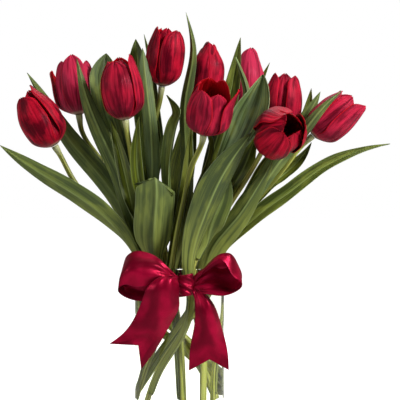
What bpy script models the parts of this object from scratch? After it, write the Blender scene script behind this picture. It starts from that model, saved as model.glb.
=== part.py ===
"""Ten red tulips with their leaves in a straight clear-glass vase of water, tied with a satin bow.

Metres, +Z up. The origin is the centre of the vase's flat underside, and -Y is the front, where the bow is.
The tables are in millimetres: each stem, leaf and ribbon is given by points that its centre line passes.
"""

import math

import bmesh
import bpy
import numpy as np

MM = 0.001
GAP = 0.4  # clearance kept between two pieces that touch on the real object
WET_GAP = 0.6  # clearance kept by the water round what stands in it

VASE_RADIUS = 50.0
VASE_HEIGHT = 158.0
VASE_WALL = 3.0
VASE_FLOOR = 9.0
VASE_SIDES = 40
WATER_LEVEL = 134.0

STEM_RADIUS = 3.2
STEM_SIDES = 7
STEM_RINGS = 13
NECK = 14.0  # length of stem below a head that lies along the head's axis, where its row gives none
NECK_MIDDLE = 0.43  # share of that length where it is held a second time
LEAF_THICK = 1.1
LEAF_ROWS = 12
LEAF_COLUMNS = 4
SHEATH_RADIUS = 4.7  # of a leaf's base, where it wraps its stem
SHEATH_HALF_ANGLE = 1.25
TAPER = 0.42  # share of a leaf's length over which its tip narrows, where its row gives none
SPREAD = (0.0, 0.5, 0.5)  # where along a leaf it begins and ends widening, and its share of width before
HEAD_SIDES = 24
HEAD_WALL = 5.5  # two overlapping layers of three petals each

RIBBON_WIDTH = 42.0
RIBBON_THICK = 0.9
RIBBON_COLUMNS = 4
LOOP_ROWS = 17
TAIL_ROWS = 11
TAIL_NOTCH = 22.0
BAND_BULGE = 1.8  # of the gathered band, outwards between its two edges
KNOT_SIDES = 14
SMOOTH_BELOW = math.radians(40)  # edges flatter than this are shaded smooth

# Each tulip: its head's base point, the head's axis, height, greatest radius, openness (0 closed, 1 open)
# and turn about the axis in degrees; then the points its stem runs through, from the cut foot up.
TULIPS = {
    "01": dict(base=(-138, -18, 293), axis=(-0.49, -0.10, 0.87), height=63, radius=23.5, open=0.10, turn=-90,
               stem=[(22, 30, 11), (4, 31, 60), (-26, 16, 110), (-41, -5, 158), (-53, -8, 184),
                     (-95, -12, 226), (-121, -16, 261)]),
    "02": dict(base=(-116, 28, 331), axis=(-0.14, 0.05, 0.99), height=64, radius=24.5, open=0.25, turn=-70,
               stem=[(32, 20, 11), (12, 22, 60), (-15, 23, 110), (-32, 11, 158), (-48, 13, 190),
                     (-66, 16, 224), (-86, 21, 272)]),
    "03": dict(base=(-59, -24, 321), axis=(-0.14, -0.06, 0.99), height=66, radius=23, open=0.12, turn=-100,
               stem=[(27, 5, 11), (9, 9, 60), (-12, 5, 110), (-25, -10, 158), (-37, -13, 192),
                     (-48, -18, 236), (-54, -22, 289)]),
    "04": dict(base=(-20, 5, 361), axis=(0.13, -0.05, 0.99), height=66, radius=21.5, open=0.15, turn=-100,
               stem=[(3, -12, 11), (1, -7, 60), (-3, -5, 110), (-13, 3, 158), (-24, 4, 205), (-31, 4, 266),
                     (-28, 4, 322)]),
    "05": dict(base=(29, 37, 346), axis=(0.08, 0.00, 0.99), height=67, radius=19, open=0.00, turn=-65,
               stem=[(21, -16, 11), (20, -9, 60), (13, 10, 110), (5, 21, 158), (9, 27, 205), (24, 29, 255),
                     (36, 33, 300)]),
    "06": dict(base=(27, -50, 303), axis=(0.18, -0.36, 0.92), height=58, radius=24, open=0.45, turn=-60,
               neck=7, stem=[(-40, -5, 11), (-27, -18, 60), (-14, -27, 110), (-8, -27, 158), (0, -30, 207),
                             (7, -35, 240), (16, -42, 274)]),
    "07": dict(base=(76, 62, 339), axis=(0.08, 0.05, 0.99), height=64, radius=20.5, open=0.00, turn=-30,
               stem=[(41, 2, 11), (39, 8, 60), (31, 25, 110), (18, 35, 158), (31, 42, 205), (50, 52, 260),
                     (66, 58, 305)]),
    "08": dict(base=(116, 36, 312), axis=(0.08, 0.03, 0.99), height=64, radius=22, open=0.20, turn=-75,
               stem=[(31, -15, 11), (32, -9, 60), (36, 5, 110), (32, 17, 158), (50, 24, 200), (78, 29, 245),
                     (104, 34, 285)]),
    "09": dict(base=(100, -29, 297), axis=(0.33, -0.88, 0.30), height=54, radius=28, open=0.70, turn=-50,
               neck=8, stem=[(-31, -21, 11), (-14, -29, 58), (1, -32, 84), (9, -32, 110), (15, -28, 158),
                             (42, -22, 206), (64, -18, 240), (83, -15, 270)]),
    "10": dict(base=(150, 0, 305), axis=(0.74, -0.08, 0.66), height=62, radius=22.5, open=0.22, turn=-60,
               stem=[(-37, 9, 11), (-17, -10, 60), (11, -17, 110), (34, -8, 158), (47, -6, 188),
                     (96, -4, 243), (124, -2, 277)]),
}

# Each leaf: the tulip whose stem it wraps, the height where it starts on that stem and where it lets go,
# the side of the stem it is on (degrees about Z: 0 right, 90 back, 180 left, -90 front), the points its
# midrib then runs through to its tip, its width, the roll of its blade half way and at the tip (0 hollow
# side to the front, 180 hollow side to the back, 90 edge on), and its half-angle of cupping half way along.
LEAVES = {
    "01": dict(on="01", start=128, free=162, side=225, width=27, roll=(-150, -165), cup=0.6,
               path=[(-69, -21, 201), (-106, -27, 233), (-155, -30, 264), (-197, -30, 293)]),
    "02": dict(on="02", start=118, free=156, side=250, width=26, roll=(-170, -160), cup=0.7,
               path=[(-54, 7, 194), (-62, 7, 216), (-89, 9, 259), (-127, 11, 304), (-157, 14, 351),
                     (-173, 12, 377)]),
    "03": dict(on="01", start=118, free=158, side=30, width=24, roll=(185, 160), cup=0.7,
               path=[(-45, -7, 184), (-51, -7, 209), (-66, -7, 259), (-91, -8, 314), (-108, -8, 362),
                     (-115, -6, 391)]),
    "04": dict(on="02", start=184, free=202, side=20, width=37, roll=(20, 5),
               taper=0.14, cup=0.8, spread=(0.25, 0.75, 0.5),
               path=[(-56, 25, 238), (-68, 21, 300), (-80, 15, 340), (-85, 15, 372), (-84, 20, 400)]),
    "05": dict(on="03", start=134, free=158, side=-95, width=48, roll=(168, 168), taper=0.30, cup=0.75,
               path=[(-28, -33, 190), (-25, -44, 222), (-24, -48, 244), (-26, -47, 264), (-29, -44, 286)]),
    "06": dict(on="03", start=190, free=206, side=-25, width=16, roll=(10, 30), cup=0.8,
               path=[(-38, -25, 226), (-43, -32, 250), (-46, -32, 290), (-44, -32, 324)]),
    "07": dict(on="03", start=166, free=182, side=-150, width=17, roll=(0, -10), cup=0.8,
               path=[(-48, -23, 206), (-53, -24, 228), (-59, -24, 256), (-67, -16, 287), (-77, -6, 322)]),
    "08": dict(on="04", start=14, free=142, side=160, width=23, roll=(25, 10), taper=0.12, cup=0.6,
               path=[(-30, 20, 205), (-38, 24, 300), (-47, 28, 372), (-51, 31, 418)]),
    "09": dict(on="04", start=226, free=242, side=60, width=11, roll=(35, 20), cup=0.6,
               path=[(-22, 18, 280), (-26, 29, 335), (-34, 38, 390), (-42, 40, 425)]),
    "10": dict(on="04", start=186, free=206, side=-152, width=17, roll=(175, 165), taper=0.20, cup=0.6,
               path=[(-30, -9, 250), (-31, -11, 300), (-36, -13, 352), (-41, -11, 402)]),
    "11": dict(on="04", start=190, free=206, side=0, width=26, roll=(60, 50), cup=1.0,
               path=[(-12, -10, 228), (-11, -19, 258), (-9, -20, 288), (-4, -16, 316), (-1, -8, 330),
                     (-7, 0, 342), (-15, 6, 351)]),
    "12": dict(on="05", start=60, free=154, side=235, width=18, roll=(-150, -165), cup=0.7,
               path=[(0, 11, 205), (7, 13, 275), (6, 16, 345), (15, 15, 403), (7, 15, 446)]),
    "13": dict(on="05", start=120, free=156, side=85, width=34, roll=(10, 0), cup=0.6,
               path=[(-1, 36, 192), (-2, 42, 235), (3, 46, 275), (9, 48, 312), (14, 50, 352)]),
    "14": dict(on="07", start=160, free=184, side=130, width=26, roll=(-30, 10), cup=0.7,
               path=[(25, 46, 222), (39, 50, 291), (58, 45, 356), (70, 40, 421)]),
    "15": dict(on="07", start=196, free=214, side=-100, width=26, roll=(75, 70), cup=1.1,
               path=[(44, 34, 240), (60, 30, 290), (76, 26, 334), (79, 25, 356), (72, 25, 378),
                     (63, 26, 397)]),
    "16": dict(on="07", start=16, free=146, side=-116, width=60, roll=(70, 30),
               taper=0.15, cup=1.2, spread=(0.60, 0.85, 0.34),
               path=[(16, 21, 160), (29, 14, 203), (40, 8, 245), (57, 3, 276), (75, 0, 302), (84, -1, 320),
                     (90, -1, 338), (93, -2, 356), (94, 0, 374)]),
    "17": dict(on="07", start=222, free=240, side=60, width=14, roll=(20, 20), cup=0.7,
               path=[(56, 72, 280), (82, 84, 330), (98, 88, 378), (107, 88, 398)]),
    "18": dict(on="09", start=20, free=128, side=-50, width=39, roll=(140, 160),
               taper=0.26, cup=0.8, spread=(0.35, 0.75, 0.42),
               path=[(13, -42, 152), (15, -45, 176), (26, -49, 212), (43, -53, 252), (61, -54, 282),
                     (78, -53, 305)]),
    "19": dict(on="09", start=168, free=183, side=-45, width=27, roll=(-150, -150), cup=0.6,
               path=[(34, -32, 200), (46, -31, 230), (54, -30, 263)]),
    "20": dict(on="09", start=212, free=224, side=152, width=24, roll=(10, 20), cup=0.7,
               path=[(55, -7, 241), (66, -3, 258), (77, -5, 280), (86, -8, 305)]),
    "21": dict(on="10", start=20, free=132, side=-100, width=30, roll=(195, 190), cup=0.6,
               path=[(36, -19, 176), (65, -25, 214), (86, -25, 246), (99, -21, 268), (105, -18, 282)]),
    "22": dict(on="10", start=232, free=246, side=80, width=15, roll=(20, -30), cup=0.8,
               path=[(114, 15, 258), (126, 19, 268), (139, 18, 282), (150, 16, 298)]),
    "23": dict(on="10", start=130, free=158, side=60, width=22, roll=(35, 40), cup=0.6,
               path=[(64, 1, 193), (98, -3, 223), (126, -2, 243), (152, 1, 263), (200, 3, 287),
                     (237, 2, 296)]),
    "24": dict(on="10", start=212, free=226, side=-95, width=15, roll=(170, 190), cup=0.6,
               path=[(101, -13, 260), (122, -14, 288), (143, -27, 316), (160, -32, 336), (178, -30, 352)]),
    "25": dict(on="08", start=216, free=230, side=-80, width=17, roll=(170, 170), taper=0.26, cup=0.7,
               path=[(92, 18, 256), (122, 12, 298), (146, 14, 330), (160, 16, 356)]),
    "26": dict(on="08", start=208, free=220, side=72, width=15, roll=(30, 20), taper=0.26, cup=0.6,
               path=[(88, 37, 240), (128, 38, 290), (146, 38, 328), (152, 38, 362)]),
    "27": dict(on="08", start=18, free=157, side=44, width=24, roll=(30, 20), cup=0.7,
               path=[(61, 36, 200), (86, 58, 240), (112, 76, 272), (140, 84, 296)]),
    "28": dict(on="02", start=108, free=148, side=70, width=25, roll=(0, -10), cup=0.7,
               path=[(-36, 38, 200), (-52, 60, 258), (-70, 76, 306), (-94, 84, 340)]),
    "29": dict(on="06", start=18, free=130, side=100, width=20, roll=(10, -10), cup=0.7,
               path=[(0, -13, 190), (8, -15, 245), (11, -11, 290), (14, -8, 322)]),
}

# The bow. Each ribbon strip: its centre line, and at each of those points the direction of its width and the
# share of the ribbon's full width that is spread out there; it is gathered towards the knot.
BAND_HEIGHT = (130.0, 151.0)
KNOT = dict(centre=(7, -58.6, 137), size=(9.5, 6.0, 13.0))
STRIPS = {
    "ribbon_loop_left": dict(
        path=[(-3, -61, 140), (-22, -68, 147), (-48, -74, 148), (-63, -66, 145), (-55, -56, 141),
              (-30, -55, 138),
              (-4, -56, 137)],
        across=[(0, 0, 1), (0.1, 0, 1), (0.2, -0.2, 1), (0.25, -0.3, 1), (0.2, -0.2, 1), (0.1, 0, 1),
                (0, 0, 1)],
        shares=[0.29, 0.67, 0.95, 1.0, 0.95, 0.67, 0.29]),
    "ribbon_loop_right": dict(
        path=[(17, -61, 139), (32, -70, 142), (52, -76, 146), (67, -68, 150), (60, -56, 152),
              (38, -55, 146),
              (17, -56, 139)],
        across=[(0, 0, 1), (0, 0.2, 1), (-0.1, 0.4, 1), (-0.2, 0.5, 1), (-0.1, 0.4, 1), (0, 0.2, 1),
                (0, 0, 1)],
        shares=[0.29, 0.62, 0.9, 1.0, 0.9, 0.62, 0.29]),
    "ribbon_tail_left": dict(
        path=[(-3, -61, 129), (-14, -67, 116), (-28, -67, 97), (-42, -63, 79), (-52, -60, 66)],
        across=[(1, 0, 0.2), (1, 0, -0.4), (1, -0.1, -0.6), (1, 0, -0.6), (1, 0, -0.6)],
        shares=[0.29, 0.76, 0.95, 1.0, 1.0]),
    "ribbon_tail_right": dict(
        path=[(12, -59.5, 123.5), (22, -65, 112), (30, -66, 98), (32, -63, 75), (33, -61, 54)],
        across=[(1, 0, 0.3), (1, 0, 0.4), (1, 0, 0.2), (1, 0, 0.05), (1, 0, 0)],
        shares=[0.24, 0.52, 0.74, 0.93, 1.0]),
}


def unit(v):
    v = np.asarray(v, float)
    return v / np.maximum(np.linalg.norm(v, axis=-1, keepdims=True), 1e-9)


def smooth(x):
    x = np.clip(x, 0.0, 1.0)
    return x * x * (3 - 2 * x)


def spline(knots, values, at):
    """Natural cubic spline through values at the knots, read at the given places."""
    knots, values = np.asarray(knots, float), np.asarray(values, float)
    step = np.diff(knots)
    n = len(knots)
    matrix, right = np.eye(n), np.zeros((n,) + values.shape[1:])
    slope = (np.diff(values, axis=0).T / step).T
    for i in range(1, n - 1):
        matrix[i, i - 1 : i + 2] = step[i - 1], 2 * (step[i - 1] + step[i]), step[i]
        right[i] = 6 * (slope[i] - slope[i - 1])
    bend = np.linalg.solve(matrix, right)
    k = np.clip(np.searchsorted(knots, at, side="right") - 1, 0, n - 2)
    h = step[k]
    a, b = (knots[k + 1] - at) / h, (at - knots[k]) / h
    curve = a * values[k].T + b * values[k + 1].T
    curve = curve + ((a**3 - a) * bend[k].T + (b**3 - b) * bend[k + 1].T) * h * h / 6
    return curve.T


def line_through(points, count):
    """Points and tangents at even arc lengths of a curve through the points, and their fractions."""
    points = np.asarray(points, float)
    knots = np.concatenate([[0], np.cumsum(np.linalg.norm(np.diff(points, axis=0), axis=1))])
    fine_at = np.linspace(0, knots[-1], 400)
    fine = spline(knots, points, fine_at)
    run = np.concatenate([[0], np.cumsum(np.linalg.norm(np.diff(fine, axis=0), axis=1))])
    wanted = np.linspace(0, run[-1], count)
    centre = np.stack([np.interp(wanted, run, fine[:, i]) for i in range(3)], axis=1)
    tangent = unit(np.gradient(fine, axis=0))
    tangent = unit(np.stack([np.interp(wanted, run, tangent[:, i]) for i in range(3)], axis=1))
    return centre, tangent, np.interp(knots, fine_at, run) / run[-1]


def stem_line(tulip):
    """Centre line of a stem, ending square to the base of its head."""
    base, axis = np.array(tulip["base"], float), unit(tulip["axis"])
    neck = tulip.get("neck", NECK)
    points = [*tulip["stem"], base - neck * axis, base - NECK_MIDDLE * neck * axis, base - GAP * axis]
    return line_through(points, 400)[0]


def tube(centre, radii, sides):
    """Rings of points round a centre line, turned as little as possible from one ring to the next."""
    tangent = unit(np.gradient(centre, axis=0))
    across = unit(np.cross(tangent[0], (0.0, 1.0, 0.0)))
    turn = np.linspace(0, 2 * math.pi, sides, endpoint=False)
    rings = []
    for c, t, r in zip(centre, tangent, radii):
        across = unit(across - t * np.dot(across, t))
        other = np.cross(t, across)
        rings.append(c + r * (np.outer(np.cos(turn), across) + np.outer(np.sin(turn), other)))
    return rings


def ring_faces(ring_count, sides):
    """Faces of a closed skin over rings of points, with both ends capped."""
    faces = [tuple(reversed(range(sides))), tuple(range((ring_count - 1) * sides, ring_count * sides))]
    for i in range(ring_count - 1):
        for k in range(sides):
            a, b = i * sides + k, i * sides + (k + 1) % sides
            faces.append((a, b, b + sides, a + sides))
    return faces


def blade_width(t, taper, spread):
    """Share of a leaf's full width along it: a narrow sheath, the blade, and a drawn-out point."""
    begin, end, least = spread
    grow = least + (1 - least) * smooth((t - begin) / (end - begin))
    to_tip = np.clip((1 - t) / taper, 0, 1)
    return grow * np.maximum(np.sin(to_tip * math.pi / 2) ** 0.85, 0.05)


def leaf_grid(leaf, rows, columns):
    """Grid of points over a leaf's middle surface, from its base on the stem to its tip."""
    line = stem_line(TULIPS[leaf["on"]])
    along_stem = unit(np.gradient(line, axis=0))
    side = math.radians(leaf["side"])
    outward = np.array((math.cos(side), math.sin(side), 0.0))
    steps = max(3, round((leaf["free"] - leaf["start"]) / 25) + 1)
    points = []
    for height in np.linspace(leaf["start"], leaf["free"], steps):
        at = np.argmin(abs(line[:, 2] - height))
        square = unit(outward - along_stem[at] * np.dot(outward, along_stem[at]))
        points.append(line[at] + SHEATH_RADIUS * square)
    centre, tangent, knots = line_through(points + [np.array(p, float) for p in leaf["path"]], rows)
    t = np.linspace(0, 1, rows)

    level = unit(np.cross(tangent, (0.0, -1.0, 0.0)))
    front = np.cross(level, tangent)
    base_roll = math.atan2(np.dot(outward, level[0]), -np.dot(outward, front[0]))
    middle, tip = (math.radians(a) for a in leaf["roll"])
    base_roll += 2 * math.pi * round((middle - base_roll) / (2 * math.pi))
    free = knots[steps - 1]
    roll = base_roll + (middle - base_roll) * smooth((t - free * 0.8) / (0.55 - free * 0.8))
    roll = roll + (tip - middle) * smooth((t - 0.5) / 0.5)
    across = level * np.cos(roll)[:, None] + front * np.sin(roll)[:, None]
    hollow = front * np.cos(roll)[:, None] - level * np.sin(roll)[:, None]

    sheath = SHEATH_RADIUS * SHEATH_HALF_ANGLE
    widen = smooth((t - 0.5 * free) / (0.5 * free + 0.2))
    blade = blade_width(t, leaf.get("taper", TAPER), leaf.get("spread", SPREAD))
    half_width = sheath + (leaf["width"] / 2 * blade - sheath) * widen
    cupping = SHEATH_HALF_ANGLE + (leaf["cup"] - SHEATH_HALF_ANGLE) * smooth((t - free * 0.9) / 0.3)
    v = np.linspace(-1, 1, columns + 1)
    radius = half_width / cupping
    angle = np.outer(cupping, v)
    along, up = radius[:, None] * np.sin(angle), radius[:, None] * (1 - np.cos(angle))
    return centre[:, None] + along[..., None] * across[:, None] + up[..., None] * hollow[:, None]


def strip_grid(strip, rows, columns, notch=0.0):
    """Grid of points over a ribbon strip; a notch cuts its free end to a swallowtail."""
    centre, tangent, knots = line_through(strip["path"], rows)
    t = np.linspace(0, 1, rows)
    across = unit(spline(knots, strip["across"], t))
    across = unit(across - tangent * np.sum(across * tangent, axis=1, keepdims=True))
    half_width = RIBBON_WIDTH / 2 * np.interp(t, knots, strip["shares"])
    v = np.linspace(-1, 1, columns + 1)
    grid = centre[:, None] + (half_width[:, None] * v)[..., None] * across[:, None]
    reach = smooth((t - 0.55) / 0.45)[:, None] * notch * (abs(v) - 0.4)[None]
    return grid + reach[..., None] * tangent[:, None]


def spread(grid, by):
    """The grid carried on past each of its four edges."""
    grid = grid.copy()
    grid[:, 0] += by * unit(grid[:, 0] - grid[:, 1])
    grid[:, -1] += by * unit(grid[:, -1] - grid[:, -2])
    grid[0] += by * unit(grid[0] - grid[1])
    grid[-1] += by * unit(grid[-1] - grid[-2])
    return grid


def head_mesh(tulip):
    """A tulip's head as one hollow cup with six petal tops: the outer skin, then the inner skin down."""
    levels = (0.0, 0.09, 0.3, 0.68, 1.0)
    closed_radii = (0.17, 0.62, 0.97, 0.94, 0.58)
    open_radii = (0.17, 0.66, 0.99, 1.0, 0.95)
    wide = np.array(closed_radii) + tulip["open"] * (np.array(open_radii) - np.array(closed_radii))
    turn = np.linspace(0, 2 * math.pi, HEAD_SIDES, endpoint=False)
    layer = np.cos(3 * turn)
    petal = abs(layer) ** 0.8
    axis = unit(tulip["axis"])
    right = unit(np.cross((0.0, 1.0, 0.0), axis))
    back = np.cross(axis, right)
    spin = turn + math.radians(tulip["turn"])
    around = np.outer(np.cos(spin), right) + np.outer(np.sin(spin), back)
    rings = []
    outer = [(level, share, 0.0) for level, share in zip(levels, wide)]
    inner = [(level, share, HEAD_WALL) for level, share, _ in reversed(outer[2:])]
    for level, share, inset in outer + inner:
        height = tulip["height"] * (level - 0.16 * level**3 * (1 - petal))
        radius = tulip["radius"] * share * (1 + 0.05 * level * layer) - inset
        rings.append(np.array(tulip["base"]) + height[:, None] * axis + radius[:, None] * around)
    return np.concatenate(rings), ring_faces(len(rings), HEAD_SIDES)


def lathe(profile, sides):
    """Points and faces of a profile of (radius, height) turned about Z, closed on the axis at both ends."""
    turn = np.linspace(0, 2 * math.pi, sides, endpoint=False)
    rings = [np.stack([r * np.cos(turn), r * np.sin(turn), np.full(sides, z)], axis=1) for r, z in profile]
    return np.concatenate(rings), ring_faces(len(rings), sides)


def material(name, colour, roughness, transmission=0.0):
    made = bpy.data.materials.new(name)
    made.use_nodes = True
    made.diffuse_color = (*colour, 1.0)
    shader = made.node_tree.nodes["Principled BSDF"]
    shader.inputs["Base Color"].default_value = (*colour, 1.0)
    shader.inputs["Roughness"].default_value = roughness
    shader.inputs["Transmission Weight"].default_value = transmission
    return made


def link(name, mesh, made_of, thickness=0.0):
    """A smooth-shaded object in the scene; a thickness gives its open mesh two sides and a rim."""
    mesh.update()
    mesh.shade_smooth()
    mesh.set_sharp_from_angle(angle=SMOOTH_BELOW)
    mesh.materials.append(made_of)
    obj = bpy.data.objects.new(name, mesh)
    bpy.context.scene.collection.objects.link(obj)
    if thickness:
        thicken = obj.modifiers.new("thickness", "SOLIDIFY")
        thicken.thickness = thickness * MM
        thicken.offset = 0.0
    return obj


def solid(name, points, faces, made_of):
    """A mesh object from points in millimetres, with its faces turned outwards."""
    points = np.asarray(points, float) * MM
    mesh = bpy.data.meshes.new(name)
    mesh.from_pydata(points.tolist(), [], faces)
    volume = 0.0
    for face in faces:
        for i in range(1, len(face) - 1):
            volume += np.dot(points[face[0]], np.cross(points[face[i]], points[face[i + 1]]))
    if volume < 0:
        mesh.flip_normals()
    return link(name, mesh, made_of)


def sheet(name, grid, thickness, made_of):
    """A thin piece: one face per cell of a grid of points, thickened evenly to both sides."""
    rows, columns = grid.shape[:2]
    faces = []
    for i in range(rows - 1):
        for j in range(columns - 1):
            a = i * columns + j
            faces.append((a, a + columns, a + columns + 1, a + 1))
    mesh = bpy.data.meshes.new(name)
    mesh.from_pydata((grid.reshape(-1, 3) * MM).tolist(), [], faces)
    return link(name, mesh, made_of, thickness)


def vase(glass):
    """A straight tumbler with a heavy flat base, a rounded rim and softened corners."""
    r, inside = VASE_RADIUS, VASE_RADIUS - VASE_WALL
    profile = [(r - 2, 0), (r - 0.6, 0.6), (r, 2), (r, VASE_HEIGHT - 1), (r - 1, VASE_HEIGHT),
               (inside + 1, VASE_HEIGHT), (inside, VASE_HEIGHT - 1), (inside, VASE_FLOOR + 4),
               (inside - 1.2, VASE_FLOOR + 1.2), (inside - 4, VASE_FLOOR)]
    return solid("vase", *lathe(profile, VASE_SIDES), glass)


def stem(name, tulip, made_of, grow=0.0):
    """A stem from its cut foot to its head, a little thinner at the top; grow makes it fatter all over."""
    line = stem_line(tulip)
    places = np.concatenate([np.linspace(0, 0.9, STEM_RINGS - 2), [0.96, 1.0]])
    centre = line[(places * (len(line) - 1)).astype(int)]
    radii = STEM_RADIUS + grow - 0.3 * np.linspace(0, 1, STEM_RINGS)
    skin = np.concatenate(tube(centre, radii, STEM_SIDES))
    return solid(name, skin, ring_faces(STEM_RINGS, STEM_SIDES), made_of)


def ribbon_band(satin):
    """The ribbon gathered once round the vase: a closed ring, thickest half way up."""
    low, high = BAND_HEIGHT
    near = VASE_RADIUS + GAP
    far = near + RIBBON_THICK
    profile = [(near, low + 2), (far, low), (far + BAND_BULGE, (low + high) / 2), (far, high),
               (near, high - 2)]
    points, _ = lathe(profile, VASE_SIDES)
    faces = []
    for i in range(len(profile)):
        here, following = i * VASE_SIDES, (i + 1) % len(profile) * VASE_SIDES
        for k in range(VASE_SIDES):
            after = (k + 1) % VASE_SIDES
            faces.append((here + k, here + after, following + after, following + k))
    solid("ribbon_band", points, faces, satin)


def ribbon_knot(satin):
    """The knot on the front of the band: an upright barrel, flatter front to back."""
    turn = np.linspace(0, 2 * math.pi, KNOT_SIDES, endpoint=False)
    round_about = np.stack([np.cos(turn), np.sin(turn), np.zeros(KNOT_SIDES)], axis=1)
    size = np.array(KNOT["size"])
    rings = []
    for share in (-1.0, -0.8, -0.3, 0.3, 0.8, 1.0):
        swell = 0.55 + 0.45 * math.sqrt(1 - share * share)
        rings.append(KNOT["centre"] + size * (swell * round_about + (0, 0, share)))
    solid("ribbon_knot", np.concatenate(rings), ring_faces(len(rings), KNOT_SIDES), satin)


def ribbon(satin):
    """The band round the vase, the knot on its front, two loops and two swallowtail ends."""
    ribbon_band(satin)
    ribbon_knot(satin)
    for name, strip in STRIPS.items():
        if "tail" in name:
            grid = strip_grid(strip, TAIL_ROWS, RIBBON_COLUMNS, TAIL_NOTCH)
        else:
            grid = strip_grid(strip, LOOP_ROWS, RIBBON_COLUMNS)
        sheet(name, grid, RIBBON_THICK, satin)


def keep_largest(mesh):
    """Deletes all but the mesh's largest connected body."""
    shape = bmesh.new()
    shape.from_mesh(mesh)
    left, bodies = set(shape.verts), []
    while left:
        waiting = [left.pop()]
        body = list(waiting)
        while waiting:
            for edge in waiting.pop().link_edges:
                for vert in edge.verts:
                    if vert in left:
                        left.discard(vert)
                        waiting.append(vert)
                        body.append(vert)
        bodies.append(body)
    bodies.sort(key=len)
    bmesh.ops.delete(shape, geom=[vert for body in bodies[:-1] for vert in body], context="VERTS")
    shape.to_mesh(mesh)
    shape.free()


def water(clear, cutters):
    """The water, hollowed with clearance where stems and leaf bases stand in it."""
    reach = VASE_RADIUS - VASE_WALL - GAP
    profile = [(reach - 4, VASE_FLOOR + GAP), (reach - 1.2, VASE_FLOOR + 1.4), (reach, VASE_FLOOR + 4),
               (reach, WATER_LEVEL)]
    body = solid("water", *lathe(profile, VASE_SIDES), clear)
    for cutter in cutters:
        cut = body.modifiers.new(cutter.name, "BOOLEAN")
        cut.operation = "DIFFERENCE"
        cut.object = cutter
        cut.solver = "EXACT"
    bpy.context.view_layer.update()
    wet = bpy.data.meshes.new_from_object(body.evaluated_get(bpy.context.evaluated_depsgraph_get()))
    keep_largest(wet)
    body.modifiers.clear()
    body.data = wet
    for cutter in cutters:
        bpy.data.objects.remove(cutter)


def main():
    for obj in list(bpy.data.objects):
        bpy.data.objects.remove(obj)
    glass = material("clear_glass", (0.90, 0.95, 0.95), 0.03, 0.95)
    clear = material("water", (0.88, 0.93, 0.96), 0.02, 0.95)
    green = material("leaf_green", (0.10, 0.19, 0.05), 0.55)
    pale = material("stem_green", (0.25, 0.33, 0.07), 0.45)
    red = material("petal_red", (0.36, 0.004, 0.025), 0.45)
    satin = material("crimson_satin", (0.40, 0.004, 0.035), 0.35)

    vase(glass)
    cutters = []
    for key, tulip in TULIPS.items():
        stem("stem_" + key, tulip, pale)
        solid("flower_" + key, *head_mesh(tulip), red)
        cutters.append(stem("wet_stem_" + key, tulip, pale, grow=WET_GAP))
    for key, leaf in LEAVES.items():
        grid = leaf_grid(leaf, LEAF_ROWS, LEAF_COLUMNS)
        sheet("leaf_" + key, grid, LEAF_THICK, green)
        if leaf["start"] < WATER_LEVEL + 5:
            wet = spread(grid, WET_GAP)
            cutters.append(sheet("wet_leaf_" + key, wet, LEAF_THICK + 2 * WET_GAP, green))
    water(clear, cutters)
    ribbon(satin)


main()
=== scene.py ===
"""The looks of ten red tulips and their leaves in a clear glass vase of water, tied with a crimson satin bow.

Metres, +Z up, -Y to the front. The tables are in millimetres. Stems, leaves, petals and ribbon follow the
same centre lines as the solids and stand in for them at a finer scale.
"""

import math
from collections import namedtuple

import bpy
import numpy as np
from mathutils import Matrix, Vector


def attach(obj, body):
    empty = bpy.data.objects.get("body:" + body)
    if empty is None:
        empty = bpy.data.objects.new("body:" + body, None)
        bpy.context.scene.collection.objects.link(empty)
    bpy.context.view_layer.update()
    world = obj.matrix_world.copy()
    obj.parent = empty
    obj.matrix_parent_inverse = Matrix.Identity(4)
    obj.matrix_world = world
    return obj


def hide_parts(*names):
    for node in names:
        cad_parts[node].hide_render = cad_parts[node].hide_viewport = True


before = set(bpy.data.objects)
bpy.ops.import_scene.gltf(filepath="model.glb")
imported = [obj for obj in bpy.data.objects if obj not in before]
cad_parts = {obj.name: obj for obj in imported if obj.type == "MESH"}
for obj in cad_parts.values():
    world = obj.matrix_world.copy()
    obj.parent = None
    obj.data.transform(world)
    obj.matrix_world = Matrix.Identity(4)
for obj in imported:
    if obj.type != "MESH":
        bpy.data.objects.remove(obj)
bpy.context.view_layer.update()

MM = 0.001
FULL_TURN = 2 * math.pi
GAP = 0.4  # clearance between two pieces that touch on the real object

VASE_RADIUS = 50.0
VASE_HEIGHT = 158.0
VASE_WALL = 3.0
VASE_FLOOR = 9.0
WATER_LEVEL = 134.0
WATER_SOAK = 0.12  # how far water reaches into the glass, so that no film of air shows between them
# The water's edge, drawn up the glass: distance in from the glass, and height above the water's level.
MENISCUS = ((0.0, 1.6), (0.5, 0.9), (1.4, 0.35), (3.2, 0.0))
ON_AXIS = 0.02  # radius at which a turned profile stops short of the axis
GLASS_SIDES = 128

LINE_STEPS = 400
STEM_RADIUS = 3.2
STEM_SIDES = 18
STEM_RINGS = 110
NECK = 14.0  # length of stem below a head that lies along the head's axis
NECK_MIDDLE = 0.43
SHEATH_RADIUS = 4.7  # of a leaf's base, where it wraps its stem
SHEATH_HALF_ANGLE = 1.25
SHEATH_STEP = 25.0  # between the points that lead a leaf's base up its stem
SPREAD = (0.0, 0.5, 0.5)  # where a leaf starts and stops widening, and the share of its width before that
KEEL = 0.35  # how sharply a leaf folds along its midrib
LEAF_THICK = 0.9
LEAF_MARGIN = 0.9  # within this of an edge, a sheet thins to a rounded rim
LEAF_ROWS = 72
LEAF_COLUMNS = 26
PETAL_THICK = 0.8
PETAL_MARGIN = 1.0
PETAL_ROWS = 36
PETAL_COLUMNS = 24
RIBBON_WIDTH = 42.0
RIBBON_THICK = 0.5
RIBBON_MARGIN = 0.4
RIBBON_COLUMNS = 41
LOOP_ROWS = 110
TAIL_ROWS = 80
KNOT_ROWS = 72
BAND_ROWS = 220
BAND_COLUMNS = 65
BAND_HEIGHT = (130.0, 151.0)

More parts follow.
